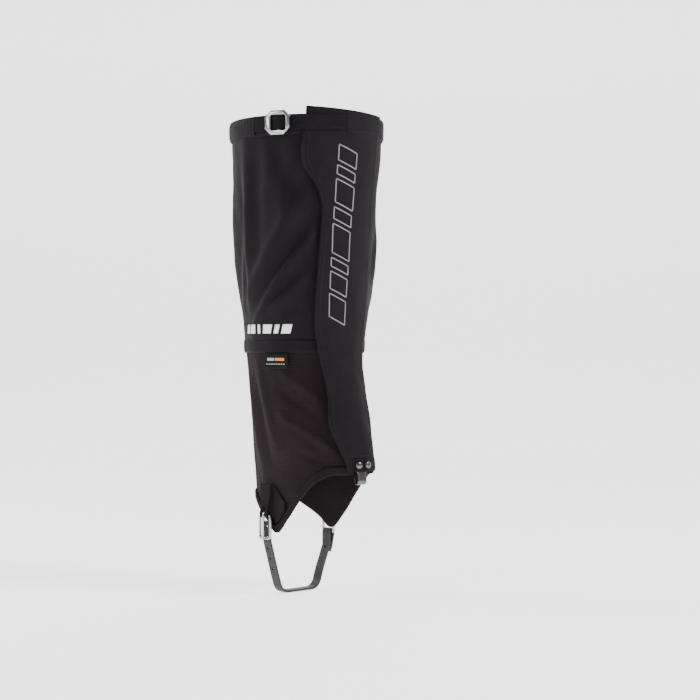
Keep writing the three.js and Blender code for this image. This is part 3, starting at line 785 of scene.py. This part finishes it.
for name, inset in (("flap_edge_stitch_near", 2.2), ("flap_edge_stitch_far", 6.0)):
    flap_stitches(name, [flap_point(flap_edge(z) - inset / ROUND_MM, z, 0.1)
                         for z in steps(136, 482, 110)])
flap_stitches("flap_seam_stitch", [flap_point(-12.5, z, 0.1) for z in steps(136, 492, 60)])
flap_stitches("flap_low_stitch", [flap_point(deg, 147.5, 0.1) for deg in steps(-14, 25, 30)])


def flap_band(name, start, end, low, high, out, height, look, replaces):
    """A folded band on the flap; high(deg) is its upper edge."""
    def at(u, v):
        deg = lerp(start, end, u)
        z = lerp(low, high(deg), v)
        return flap_point(deg, z, out + rounded(v, height))

    size = ((end - start) * ROUND_MM, high(0) - low)
    return flap_piece(name, at, max(8, int(end - start)), 8, size, look, replaces, 0.8)


flap_band("flap_top_fold", FLAP_SEAM + 0.5, 19.2, RIM_Z - 19.5, lambda deg: flap_top(deg) - 0.3,
          0.05, 0.5, upper_cloth, ["flap_top_hem"])
flap_band("hook_patch", FLAP_SEAM + 1.2, 19.4, FLAP_LOW_Z + 0.3, lambda deg: FLAP_LOW_Z + 14.2,
          0.1, 0.6, trim_cloth, ["flap_hook_patch"])
flap_stitches("top_fold_stitch", [flap_point(deg, RIM_Z - 17, 0.62) for deg in steps(-14, 18, 30)])
flap_stitches("hook_patch_stitch",
              [flap_point(deg, FLAP_LOW_Z + 12.4, 0.7) for deg in steps(-13, 18, 30)])
HOOK_TAPE_OUT = 3.2


def hook_tape_at(u, v):
    return leg(lerp(TAPE_FROM, TAPE_TO, u), lerp(TAPE_LOW, TAPE_TOP, v), HOOK_TAPE_OUT)


hook_side = flap_piece("hook_side_tape", hook_tape_at, 16, 60, (27, 323), tape_look,
                       ["hook_tape"], 0.9)
print("hook tape:", len(hook_side.data.polygons), "faces")

# %% [markdown]
# The prints are plain slanted shapes: a column of outlined blocks down the flap, and a short row
# of solid bars above the waist band. Each line is a narrow strip laid a hair above the cloth.


# %% Prints on the cloth
def strip_between(shape, start, end, width, at):
    """A flat strip between two (degree, height) points, laid on the surface at(deg, z)."""
    run = Vector(((end[0] - start[0]) * ROUND_MM, end[1] - start[1]))
    side = Vector((-run.y, run.x)).normalized() * width / 2
    count = max(2, int(run.length / 3))
    made = bmesh.ops.create_grid(shape, x_segments=count, y_segments=1, size=0.5)
    for vert in made["verts"]:
        u, v = vert.co.x + 0.5, 2 * vert.co.y
        deg = lerp(start[0], end[0], u) + side.x * v / ROUND_MM
        z = lerp(start[1], end[1], u) + side.y * v
        vert.co = at(deg, z) * MM


def block_between(shape, low, high, near, far, lean, at):
    """A filled block between two heights, leaning by lean degrees at its top."""
    made = bmesh.ops.create_grid(shape, x_segments=6, y_segments=4, size=0.5)
    for vert in made["verts"]:
        u, v = vert.co.x + 0.5, vert.co.y + 0.5
        vert.co = at(lerp(near, far, u) + lean * v, lerp(low, high, v)) * MM


INK_THICK = 0.12


def finish_print(name, shape, look, body):
    shape.loops.layers.uv.new("UVMap")
    shape.normal_update()
    for face in shape.faces:
        outward = face.calc_center_median() - LEG_MIDDLE
        outward.z = 0
        if face.normal.dot(outward) < 0:
            face.normal_flip()
    return thicken(add_object(name, shape, look, body), INK_THICK, 1.0)


LINE_WIDTH = 1.25
PRINT_GAP = 5
PRINT_LEAN = 9
PRINT_TOP = 460
PRINT_FALL = 190
PRINT_NEAR = (9.0, 12.5)  # degrees of the column's near edge, above and below
PRINT_WIDE = 15
PRINT_OUT = 0.12
flap_blocks = bmesh.new()
block_top = PRINT_TOP
for height in (16, 9, 24, 12, 30, 9, 18, 24):
    block_low = block_top - height
    near = lerp(*PRINT_NEAR, (PRINT_TOP - block_top) / PRINT_FALL)
    far = near + PRINT_WIDE
    corners = [(near, block_low), (far, block_low + PRINT_LEAN), (far, block_top + PRINT_LEAN),
               (near, block_top)]
    for first, second in zip(corners, corners[1:] + corners[:1]):
        strip_between(flap_blocks, first, second, LINE_WIDTH,
                      lambda deg, z: flap_point(deg, z, PRINT_OUT))
    block_top = block_low - PRINT_GAP
on_flap(finish_print("flap_print", flap_blocks, grey_ink, None))


def shell_point(deg, z):
    return leg(deg, z, held_lift(UPPER_FOLDS, deg, z, WAIST_Z - 6, RIM_Z) + 0.15)


BAR_LOW, BAR_HIGH = 274.5, 284
BAR_GAP = 3
BAR_LEAN = -2.5
side_blocks = bmesh.new()
bar_start = 61
for bar_width in (9, 4.5, 9, 2.5, 9, 6):
    bar_end = bar_start + bar_width
    block_between(side_blocks, BAR_LOW, BAR_HIGH, bar_start, bar_end, BAR_LEAN, shell_point)
    bar_start = bar_end + BAR_GAP
finish_print("side_print", side_blocks, white_ink, "shell")
print("prints:", "flap_print", "side_print")

# %% [markdown]
# Webbing is a flat woven ribbon. A ribbon is a grid again, laid along a line that bends round the
# metal it is threaded through: over the ring's hidden centre bar, and round the buckle's wire.

# %% Calf strap and calf tab
RING_AT = 68
RING_Z = RIM_Z - 8.5
RING_STEP = (leg(RING_AT + 0.5, RING_Z) - leg(RING_AT - 0.5, RING_Z)).length
WEB_WIDE = 15
WEB_THICK = 1.2
STRAP_LOW = RING_Z - WEB_WIDE / 2
STRAP_HIGH = RING_Z + WEB_WIDE / 2
OPEN_LEFT = 7.0
OPEN_RIGHT = -9.5
RING_BAR_AT = (OPEN_LEFT + OPEN_RIGHT) / 2
RING_BAR_THICK = 1.3
WEB_UNDER = 2.6
WEB_OVER = 6.4
RING_BACK = 3.8
WEB_CREST = RING_BACK + RING_BAR_THICK + 0.35 + WEB_THICK / 2


def ring_turn(x):
    return RING_AT + x / RING_STEP


STRAP_LINE = [
    (19.6, WEB_OVER), (49.6, WEB_OVER), (56.6, WEB_UNDER), (ring_turn(OPEN_RIGHT - 0.6), WEB_UNDER),
    (ring_turn(RING_BAR_AT - 2.6), WEB_CREST), (ring_turn(RING_BAR_AT + 2.6), WEB_CREST),
    (ring_turn(OPEN_LEFT + 0.6), WEB_UNDER), (ring_turn(OPEN_LEFT + 2.6), WEB_UNDER),
]


def strap_at(u, v):
    deg = lerp(STRAP_LINE[0][0], STRAP_LINE[-1][0], u)
    nearby = [along(STRAP_LINE, deg + shift) for shift in (-0.8, 0, 0.8)]
    return leg(deg, lerp(STRAP_LOW, STRAP_HIGH, v), sum(nearby) / 3)


def ribbon_piece(name, at, across, up, size, body, replaces):
    shape = laid_grid(at, across, up, size)
    thing = add_object(name, shape, webbing_look, body, replaces)
    thicken(thing, WEB_THICK, 0)
    ease_edges(thing, 0.35, 2)
    return thing


webbing = ribbon_piece("calf_webbing", strap_at, 130, 6, (83, WEB_WIDE), "calf_strap_end",
                       ["calf_strap"])


def tab_at(u, v):
    deg = lerp(ring_turn(OPEN_LEFT + 3.6), 87.6, u)
    return leg(deg, lerp(STRAP_LOW, STRAP_HIGH, v), WEB_UNDER)


ribbon_piece("calf_tab_webbing", tab_at, 24, 6, (18, WEB_WIDE), "shell", ["calf_tab"])
band("webbing_channel", 88.0, BACK_BAND, RIM_Z - 20, RIM_Z - 0.4, 1.5, 1.3, upper_cloth,
     ["strap_channel"], pucker=0.15)
stitch_row("channel_end_stitch", [leg(89.4, z, 3.35) for z in steps(RIM_Z - 18, RIM_Z - 2, 10)],
           "shell")
for row, z in (("low", STRAP_LOW + 1.6), ("high", STRAP_HIGH - 1.6)):
    stitch_row(f"strap_edge_stitch_{row}",
               [leg(deg, z, WEB_OVER + 0.62) for deg in steps(20.5, 30, 8)],
               "calf_strap_end")
print("webbing:", len(webbing.data.polygons), "faces;", round(RING_STEP, 2), "mm a degree")

# %% [markdown]
# The calf ring is a flat plate with its corners cut off and a wide bevel on its face, which is
# what catches the light. Two outlines of eight points are bridged into a face with a hole, so the
# bevel meets clean loops of edges, and the face is extruded to a plate. A hidden bar across the
# opening holds the webbing.


# %% Calf ring
def octagon(shape, left, right, low, high, cut, y):
    """A closed ring of eight points: a rectangle with its corners cut off."""
    made = bmesh.ops.create_circle(shape, segments=8, radius=1)
    places = [
        (right, high - cut), (right - cut, high), (left + cut, high), (left, high - cut),
        (left, low + cut), (left + cut, low), (right - cut, low), (right, low + cut),
    ]
    for vert, (x, z) in zip(made["verts"], places):
        vert.co = Vector((x, y, z)) * MM
    return list({edge for vert in made["verts"] for edge in vert.link_edges})


RING_HALF_WIDE = 14.5
RING_HALF_TALL = 13
RING_THICK = 3
OPEN_HALF_TALL = 8.0


def on_rim(spot):
    return abs(spot.x) > 12 * MM or abs(spot.z) > 12 * MM


def in_opening(spot):
    return abs(spot.x) < 9.8 * MM and abs(spot.z) < 8.2 * MM


def bevelled_block(shape, matrix, soft, segments):
    """A cube placed by the matrix, with all its edges bevelled."""
    made = bmesh.ops.create_cube(shape, size=1, matrix=matrix)
    edges = list({edge for vert in made["verts"] for edge in vert.link_edges})
    bmesh.ops.bevel(shape, geom=edges, offset=soft * MM, segments=segments, profile=0.5,
                    affect="EDGES", material=-1)


def ring_shape():
    shape = bmesh.new()
    outside = octagon(shape, -RING_HALF_WIDE, RING_HALF_WIDE, -RING_HALF_TALL, RING_HALF_TALL, 7, 0)
    inside = octagon(shape, OPEN_RIGHT, OPEN_LEFT, -OPEN_HALF_TALL, OPEN_HALF_TALL, 1.2, 0)
    bmesh.ops.bridge_loops(shape, edges=outside + inside)
    made = bmesh.ops.extrude_face_region(shape, geom=shape.faces[:])
    moved = [item for item in made["geom"] if isinstance(item, bmesh.types.BMVert)]
    bmesh.ops.translate(shape, verts=moved, vec=(0, RING_THICK * MM, 0))
    bmesh.ops.recalc_face_normals(shape, faces=shape.faces)
    for chosen, width in ((on_rim, 2.3), (in_opening, 1.1)):
        front = [
            edge for edge in shape.edges
            if edge.calc_face_angle(0) > 0.9
            and all(vert.co.y > (RING_THICK - 0.1) * MM and chosen(vert.co) for vert in edge.verts)
        ]
        bmesh.ops.bevel(shape, geom=front, offset=width * MM, offset_type="OFFSET", segments=2,
                        profile=0.5, affect="EDGES", material=-1, clamp_overlap=True)
    bar_middle = Matrix.Translation((RING_BAR_AT * MM, RING_BAR_THICK / 2 * MM, 0))
    bar_size = Matrix.Diagonal((2.4 * MM, RING_BAR_THICK * MM, 16.4 * MM, 1))
    bevelled_block(shape, bar_middle @ bar_size, 0.4, 2)
    return shape


ring = ring_shape()
ring.transform(seat(RING_AT, RING_Z) @ Matrix.Translation((0, RING_BACK * MM, 0)))
ring_plate = add_object("calf_ring_plate", ring, ring_metal, "calf_strap_end",
                        ["calf_ring"])
ring_plate.data.set_sharp_from_angle(angle=math.radians(24))
print("ring:", len(ring_plate.data.polygons), "faces")

# %% [markdown]
# The side label is a small folded tape, sewn in under the waist band. Its marks are one bar and a
# row of dashes, each a thin raised patch.

# %% Side label
LABEL_SEAT = seat(76, WAIST_Z - 7.5, 0.6, True)
LABEL_HALF = 14.6
LABEL_TALL = 15.8
LABEL_OUT = 1.75
MARK_OUT = 1.82
MARK_THICK = 0.22


def label_at(u, v):
    x = lerp(-LABEL_HALF, LABEL_HALF, u)
    curl = 0.5 * (2 * u - 1) ** 2
    spot = LABEL_SEAT @ (Vector((x, LABEL_OUT - curl * v * 0.4, -LABEL_TALL * (1 - v))) * MM)
    return spot / MM


label_out = LABEL_SEAT.to_3x3() @ Vector((0, 1, 0))
label_shape = laid_grid(label_at, 24, 12, (30, 16), outward=label_out)
label_tape = add_object("label_tape", label_shape, label_look, "label",
                        ["side_label"])
thicken(label_tape, 0.7)


def label_mark(name, marks, look):
    """Raised patches on the label, each from x0 to x1 and z0 to z1."""
    shape = bmesh.new()
    for x0, x1, z0, z1 in marks:
        middle = Matrix.Translation(((x0 + x1) / 2 * MM, MARK_OUT * MM, (z0 + z1) / 2 * MM))
        size = Matrix.Diagonal(((x1 - x0) * MM, MARK_THICK * MM, (z1 - z0) * MM, 1))
        bevelled_block(shape, LABEL_SEAT @ middle @ size, 0.05, 1)
    shape.loops.layers.uv.new("UVMap")
    return add_object(name, shape, look, "label")


BAR_TOP, BAR_FOOT = -4.6, -7.6
label_mark("label_bar", [(-10.5, 1.0, BAR_FOOT, BAR_TOP)], orange_ink)
label_mark("label_bar_pale", [(2.0, 10.5, BAR_FOOT, BAR_TOP)], ash_ink)
label_mark("label_dashes", [(x, x + 1.7, -11.6, -10.4) for x in range(-11, 11, 3)], ash_ink)
print("label:", 2 * LABEL_HALF, "by", LABEL_TALL, "mm")

# %% [markdown]
# Each instep tab is webbing folded round the upper wire of its buckle, with a notch for the prong.
# The fold is a half circle between two straight runs, and the tab is wider where it is sewn on.

# %% Instep tabs
BUCKLE_Z = 82.0
BAR_X = 48.282
WIRE_R = 1.5
WIRE_GAP = 0.35
FOLD_R = WIRE_R + WIRE_GAP + 0.6
TAB_SEWN = 1.9  # how far the outer leaf stands off the inner one where they are sewn


def arc(x, z, radius, start, end, count):
    return [
        (x + radius * math.cos(math.radians(lerp(start, end, i / count))),
         z + radius * math.sin(math.radians(lerp(start, end, i / count))))
        for i in range(count + 1)
    ]


def path_point(path, u):
    """The point at share u of a path's length."""
    spans = [math.dist(a, b) for a, b in zip(path, path[1:])]
    left = u * sum(spans)
    for (a, b), span in zip(zip(path, path[1:]), spans):
        if left <= span + 1e-9:
            return (lerp(a[0], b[0], left / span), lerp(a[1], b[1], left / span))
        left -= span
    return path[-1]


TAB_BACK = BAR_X - FOLD_R
TAB_PATH = [
    (TAB_BACK, 110), (TAB_BACK, BUCKLE_Z + 3), *arc(BAR_X, BUCKLE_Z, FOLD_R, 180, 360, 14),
    (BAR_X + FOLD_R, BUCKLE_Z + 2), (TAB_BACK + TAB_SEWN, BUCKLE_Z + 17),
    (TAB_BACK + TAB_SEWN - 0.1, 116),
]


NOTCH_HALF = 2.0


def tab_shape(sign):
    def at(u, v):
        x, z = path_point(TAB_PATH, u)
        width = lerp(11.2, 15.5, smooth(BUCKLE_Z + 4, 112, z))
        y = (v - 0.5) * width
        return Vector((-sign * x, y, z))

    shape = laid_grid(at, 90, 10, (74, 12))
    notch = [
        face for face in shape.faces
        if abs(face.calc_center_median().y) < NOTCH_HALF * MM
        and BUCKLE_Z - 5 < face.calc_center_median().z / MM < BUCKLE_Z + 9
    ]
    bmesh.ops.delete(shape, geom=notch, context="FACES")
    return shape


PATCH_WIDE = 12
PATCH_NEAR = 101.4
PATCH_FAR = PATCH_NEAR - PATCH_WIDE
PATCH_LOW, PATCH_HIGH = 97, 114


def patch_top(deg):
    """The patch's upper edge climbs towards the tab."""
    return lerp(PATCH_LOW, PATCH_HIGH, (deg - PATCH_FAR) / PATCH_WIDE)


def patch_at(sign):
    def at(u, v):
        deg = lerp(PATCH_FAR, PATCH_NEAR, u)
        low = hem_top(deg) + 1.2
        return leg(sign * deg, lerp(low, patch_top(deg), v), 0.5 + rounded(v, 0.9))

    return at


TAB_STITCH_X = TAB_BACK + TAB_SEWN + 0.62
for side, sign in (("outer", 1), ("inner", -1)):
    tab = add_object(f"{side}_tab_webbing", tab_shape(sign), lower_cloth, "shell",
                     [f"instep_tab_{side}"])
    thicken(tab, 1.1, 0)
    for row, z in (("low", 99.5), ("high", 112.5)):
        stitch_row(f"{side}_tab_stitch_{row}",
                   [Vector((-sign * TAB_STITCH_X, y, z)) for y in (-5.6, 5.6)],
                   "shell", 1.6)
    cloth_piece(f"{side}_patch", patch_at(sign), 24, 20, (16, 36), lower_cloth, "shell",
                [f"side_patch_{side}"])
    slope = [leg(sign * deg, patch_top(deg) - 1.6, 1.55)
             for deg in steps(PATCH_FAR + 0.6, PATCH_NEAR - 0.6, 12)]
    stitch_row(f"{side}_patch_stitch", slope, "shell", 1.8)
    print(f"{side} tab:", len(tab.data.polygons), "faces")

# %% [markdown]
# Wire buckles are a round bar bent to a rectangle. A circle is spun round each corner and extruded
# along each side, so the wire keeps its thickness through the bend.

# %% Wire frames
SPAN = 24.5
FRAME_INSIDE = 11.4
HALF_FRAME = FRAME_INSIDE / 2 + 0.5 + WIRE_R
CORNER = 3.0
HALF_RUN = HALF_FRAME - CORNER


def wire_frame(sign):
    shape = bmesh.new()
    made = bmesh.ops.create_circle(shape, segments=20, radius=WIRE_R * MM,
                                   matrix=Matrix.Rotation(math.pi / 2, 4, "X"))
    ring_verts = made["verts"]
    bmesh.ops.translate(shape, verts=ring_verts, vec=(0, -HALF_RUN * MM, 0))
    loop_edges = list({edge for vert in ring_verts for edge in vert.link_edges})
    sides = [(0, 2 * HALF_RUN, 0), (0, 0, -(SPAN - 2 * CORNER)),
             (0, -2 * HALF_RUN, 0), (0, 0, SPAN - 2 * CORNER)]
    centres = [(0, HALF_RUN, -CORNER), (0, HALF_RUN, CORNER - SPAN),
               (0, -HALF_RUN, CORNER - SPAN), (0, -HALF_RUN, -CORNER)]
    for run, centre in zip(sides, centres):
        made = bmesh.ops.extrude_edge_only(shape, edges=loop_edges)
        verts = [item for item in made["geom"] if isinstance(item, bmesh.types.BMVert)]
        loop_edges = [item for item in made["geom"] if isinstance(item, bmesh.types.BMEdge)]
        bmesh.ops.translate(shape, verts=verts, vec=Vector(run) * MM)
        made = bmesh.ops.spin(shape, geom=loop_edges, cent=Vector(centre) * MM, axis=(1, 0, 0),
                              angle=-math.pi / 2, steps=6, use_duplicate=False)
        loop_edges = [item for item in made["geom_last"] if isinstance(item, bmesh.types.BMEdge)]
    bmesh.ops.remove_doubles(shape, verts=shape.verts, dist=0.02 * MM)
    bmesh.ops.recalc_face_normals(shape, faces=shape.faces)
    shape.transform(Matrix.Translation((-sign * BAR_X * MM, 0, BUCKLE_Z * MM)))
    return shape


add_object("buckle_wire", wire_frame(1), wire_metal, "instep_buckle",
           ["instep_buckle_frame"])
add_object("inner_wire", wire_frame(-1), wire_metal, "sole_strap",
           ["instep_loop_inner"])
print("wire frames:", round(2 * HALF_FRAME, 1), "by", SPAN, "mm between the bars")

# %% [markdown]
# The prong is a flat bar curled round the frame's upper wire, and it narrows to its tip. It is a
# grid along that line, given a real thickness and eased edges.

# %% Prong
PRONG_THICK = 1.7
PRONG_R = WIRE_R + WIRE_GAP + 0.9
PRONG_PATH = [
    *arc(0, 0, PRONG_R, -60, 180, 20), (-PRONG_R, -SPAN / 2), (-PRONG_R, -SPAN - 2),
]


def prong_at(u, v):
    x, z = path_point(PRONG_PATH, u)
    width = lerp(2.2, 1.5, smooth(-SPAN * 0.6, -SPAN - 2, z)) if z < 0 else 2.2
    return Vector((x - BAR_X, (v - 0.5) * width, z + BUCKLE_Z))


prong = add_object("prong_bar", laid_grid(prong_at, 60, 4, (30, 10)), wire_metal, "prong",
                   ["instep_prong"])
thicken(prong, PRONG_THICK, 0)
ease_edges(prong, 0.5, 3, 50)
print("prong:", len(prong.data.polygons), "faces")

# %% [markdown]
# The instep strap is moulded rubber: a U under the boot's arch, with its inner end folded round the
# wire and riveted. It is a grid one face wide, laid along the strap's middle line and extruded to
# the strap's width. Corners on the line are mitred, so the strap keeps its thickness there.

# %% Instep strap
STRAP_T = 2.5
STRAP_W = 10.5
STRAP_MID = -STRAP_T / 2
BOTTOM_Z = BUCKLE_Z - SPAN
ARM_LOW = (34.2, 19.0)
ARM_BAR = BAR_X - WIRE_R - WIRE_GAP - STRAP_T / 2
LOOP_R = WIRE_R + WIRE_GAP + 0.15 + STRAP_T / 2
ARM_TOP = (BAR_X - LOOP_R, BOTTOM_Z - 14)
ARM_LEAN = math.atan2(ARM_TOP[0] - ARM_LOW[0], ARM_TOP[1] - ARM_LOW[1])
BEND = arc(18, STRAP_MID + 13, 13, 270, 345, 14)


def beside(z):
    """The folded end lies beside the arm, outside it."""
    run = min(z - ARM_LOW[1], ARM_TOP[1] - ARM_LOW[1])
    return (ARM_LOW[0] + run * math.tan(ARM_LEAN) + (STRAP_T + 0.9) / math.cos(ARM_LEAN), z)


OUTER_ARM = [(-ARM_BAR, BUCKLE_Z - 6.5), (-ARM_BAR, BOTTOM_Z - 3), (-ARM_LOW[0], ARM_LOW[1]),
             *[(-x, z) for x, z in reversed(BEND)]]
INNER_ARM = [
    *BEND, ARM_LOW, ARM_TOP, (BAR_X - LOOP_R, BOTTOM_Z),
    *arc(BAR_X, BOTTOM_Z, LOOP_R, 165, -15, 14),
    beside(ARM_TOP[1] + 1), beside(ARM_TOP[1] - 7),
]
SOLE_PATH = [*OUTER_ARM, *INNER_ARM]


def sole_shape():
    path = [Vector((x, 0, z)) for x, z in SOLE_PATH]
    sides = []
    for index, point in enumerate(path):
        before = path[max(index - 1, 0)]
        after = path[min(index + 1, len(path) - 1)]
        first = (point - before if index else after - point).normalized()
        second = (after - point if index < len(path) - 1 else point - before).normalized()
        mean = (first + second).normalized()
        reach = STRAP_T / 2 / max(mean.dot(first), 0.5)
        sides.append(Vector((-mean.z, 0, mean.x)) * reach)
    shape = bmesh.new()
    last = len(path) - 1
    bmesh.ops.create_grid(shape, x_segments=last, y_segments=1, size=0.5)
    front = Vector((0, -STRAP_W / 2, 0))
    for vert in shape.verts:
        index = round((vert.co.x + 0.5) * last)
        side = math.copysign(1, vert.co.y)
        vert.co = (path[index] + side * sides[index] + front) * MM
    made = bmesh.ops.extrude_face_region(shape, geom=shape.faces[:])
    moved = [item for item in made["geom"] if isinstance(item, bmesh.types.BMVert)]
    bmesh.ops.translate(shape, verts=moved, vec=(0, STRAP_W * MM, 0))
    bmesh.ops.recalc_face_normals(shape, faces=shape.faces)
    return shape


sole_strap = add_object("sole_strap_rubber", sole_shape(), rubber_look, "sole_strap",
                        ["instep_strap"])


print("strap line:", len(SOLE_PATH), "points")

# %% [markdown]
# The outer arm has a row of punched holes for the prong, and the folded end has one for the rivet.
# They are cut with a boolean, which gives clean round walls. Then the edges are eased, so that
# they catch a thin line of light.


# %% Holes in the strap
def cutter(matrix, radius):
    """A round punch for the boolean, along the matrix's Z."""
    shape = bmesh.new()
    bmesh.ops.create_cone(shape, cap_ends=True, segments=24, radius1=radius * MM,
                          radius2=radius * MM, depth=16 * MM, matrix=matrix)
    mesh = bpy.data.meshes.new("punch")
    shape.to_mesh(mesh)
    shape.free()
    tool = bpy.data.objects.new("punch", mesh)
    bpy.context.collection.objects.link(tool)
    return tool


def arm_x(z):
    rise = min(max((z - ARM_LOW[1]) / (BOTTOM_Z - 3 - ARM_LOW[1]), 0), 1)
    return lerp(ARM_LOW[0], ARM_BAR, rise), rise


HOLE_PITCH = 11.4
HOLE_R = 1.6
outer_lean = math.atan2(ARM_BAR - ARM_LOW[0], BOTTOM_Z - 3 - ARM_LOW[1])
punches = []
for index in range(5):
    z = BUCKLE_Z - 12 - index * HOLE_PITCH
    x, rise = arm_x(z)
    tilt = math.pi / 2 - (outer_lean if rise < 1 else 0)
    place = Matrix.Translation((-x * MM, 0, z * MM)) @ Matrix.Rotation(tilt, 4, "Y")
    punches.append(cutter(place, HOLE_R))
rivet_place = Matrix.Translation(((BAR_X - 2) * MM, 0, (BOTTOM_Z - 16) * MM))
punches.append(cutter(rivet_place @ Matrix.Rotation(math.pi / 2, 4, "Y"), 1.3))


def apply_modifiers(thing):
    """Keeps what the modifiers make as the piece's own mesh."""
    depsgraph = bpy.context.evaluated_depsgraph_get()
    made = bpy.data.meshes.new_from_object(thing.evaluated_get(depsgraph))
    thing.modifiers.clear()
    thing.data = made


for tool in punches:
    hole = sole_strap.modifiers.new("hole", "BOOLEAN")
    hole.object = tool
    hole.solver = "EXACT"
apply_modifiers(sole_strap)
for tool in punches:
    bpy.data.objects.remove(tool)
ease_edges(sole_strap, 0.4, 2, 55)
for polygon in sole_strap.data.polygons:
    polygon.use_smooth = False
print("strap:", len(sole_strap.data.polygons), "faces,", len(punches) - 1, "holes")

# %% [markdown]
# Rivets are turned parts: a profile spun round its axis gives a true round with a soft shoulder.
# Two of them, each with a cap behind, hold the lace hook to the flap, and one closes the strap.


# %% Rivets
def turned(profile):
    """A closed round from (radius, height) points, about +Y, in millimetres."""
    shape = bmesh.new()
    verts = [shape.verts.new((r * MM, h * MM, 0)) for r, h in profile]
    edges = [shape.edges.new(pair) for pair in zip(verts, verts[1:])]
    bmesh.ops.spin(shape, geom=verts + edges, cent=(0, 0, 0), axis=(0, 1, 0),
                   angle=2 * math.pi, steps=28, use_merge=True)
    bmesh.ops.remove_doubles(shape, verts=shape.verts, dist=0.005 * MM)
    bmesh.ops.recalc_face_normals(shape, faces=shape.faces)
    return shape


def dome_profile(radius, foot, rim, height):
    shoulder = foot + rim
    angles = [math.radians(degrees) for degrees in range(0, 90, 15)]
    rise = [(radius * math.cos(a), shoulder + height * math.sin(a)) for a in angles]
    return [(0, foot), (radius - 0.15, foot), (radius, foot + 0.15), *rise, (0, shoulder + height)]


RIVET_Z = FLAP_LOW_Z + 6.5
HOOK_AT = 8
PLATE_THICK = 0.9
PLATE_IN = FLAP_IN - 0.65 - PLATE_THICK
CAP_R = 2.6
CAP_IN, CAP_OUT = PLATE_IN - 1.4, PLATE_IN - 0.5
RIVET_APART = 11
for index, deg in enumerate((HOOK_AT + RIVET_APART / 2, HOOK_AT - RIVET_APART / 2), 1):
    place = seat(deg, RIVET_Z)
    head = turned(dome_profile(3.75, 6.9, 0.5, 1.6))
    head.transform(place)
    head_piece = add_object(f"hook_rivet_{index}", head, hook_metal, None,
                            [f"lace_rivet_{index}"])
    on_flap(head_piece)
    cap = turned([(0, CAP_IN), (CAP_R, CAP_IN), (CAP_R, CAP_OUT), (0, CAP_OUT)])
    cap.transform(place)
    on_flap(add_object(f"hook_rivet_back_{index}", cap, hook_metal, None,
                       [f"lace_rivet_cap_{index}"]))

print("rivet head:", len(head_piece.data.polygons), "faces")

# %% [markdown]
# The lace hook is a plate behind the flap's hem that bends back up under it, and it grips the
# boot's lace. It is a grid along the bend, narrower at the hook than at the rivets.

# %% Lace hook
HOOK_MID = PLATE_IN + PLATE_THICK / 2
HOOK_LOW = FLAP_LOW_Z - 9.5
HOOK_R = 3.8
PLATE_HALF, HOOK_HALF = 7.5, 5.6  # half widths of the plate and of its hook, in degrees
HOOK_PATH = [
    (HOOK_MID, RIVET_Z + 5.5), (HOOK_MID, RIVET_Z - 5), (HOOK_MID, HOOK_LOW),
    *arc(HOOK_MID - HOOK_R, HOOK_LOW, HOOK_R, -10, -170, 14),
    (HOOK_MID - 2 * HOOK_R, HOOK_LOW), (HOOK_MID - 2 * HOOK_R, HOOK_LOW + 3.8),
]


def hook_at(u, v):
    out, z = path_point(HOOK_PATH, u)
    narrow = HOOK_HALF
    if z > HOOK_LOW:
        narrow = lerp(PLATE_HALF, HOOK_HALF, smooth(RIVET_Z - 4, RIVET_Z - 9, z))
    spot = seat(HOOK_AT + (v - 0.5) * 2 * narrow, RIVET_Z) @ (Vector((0, out, z - RIVET_Z)) * MM)
    return spot / MM


hook_shape = laid_grid(hook_at, 60, 10, (44, 14), outward=Vector((0, -1, 0)))
lace_hook = add_object("hook_plate", hook_shape, hook_metal, None, ["lace_hook"])
thicken(lace_hook, PLATE_THICK, 0)
on_flap(lace_hook)
print("hook plate:", len(lace_hook.data.polygons), "faces")

# %% [markdown]
# The last rivet closes the strap's fold. It is turned like the others, and its head faces away
# from the boot, over the hole that was cut for it.

# %% Strap rivet
rivet = turned(dome_profile(3.0, 4.9, 0.4, 1.0))
rivet.transform(rivet_place @ Matrix.Rotation(-math.pi / 2, 4, "Z"))
strap_rivet = add_object("strap_rivet", rivet, hook_metal, "sole_strap",
                         ["instep_rivet"])
print("strap rivet:", len(strap_rivet.data.polygons), "faces")

# %% Last update of the scene
bpy.context.view_layer.update()
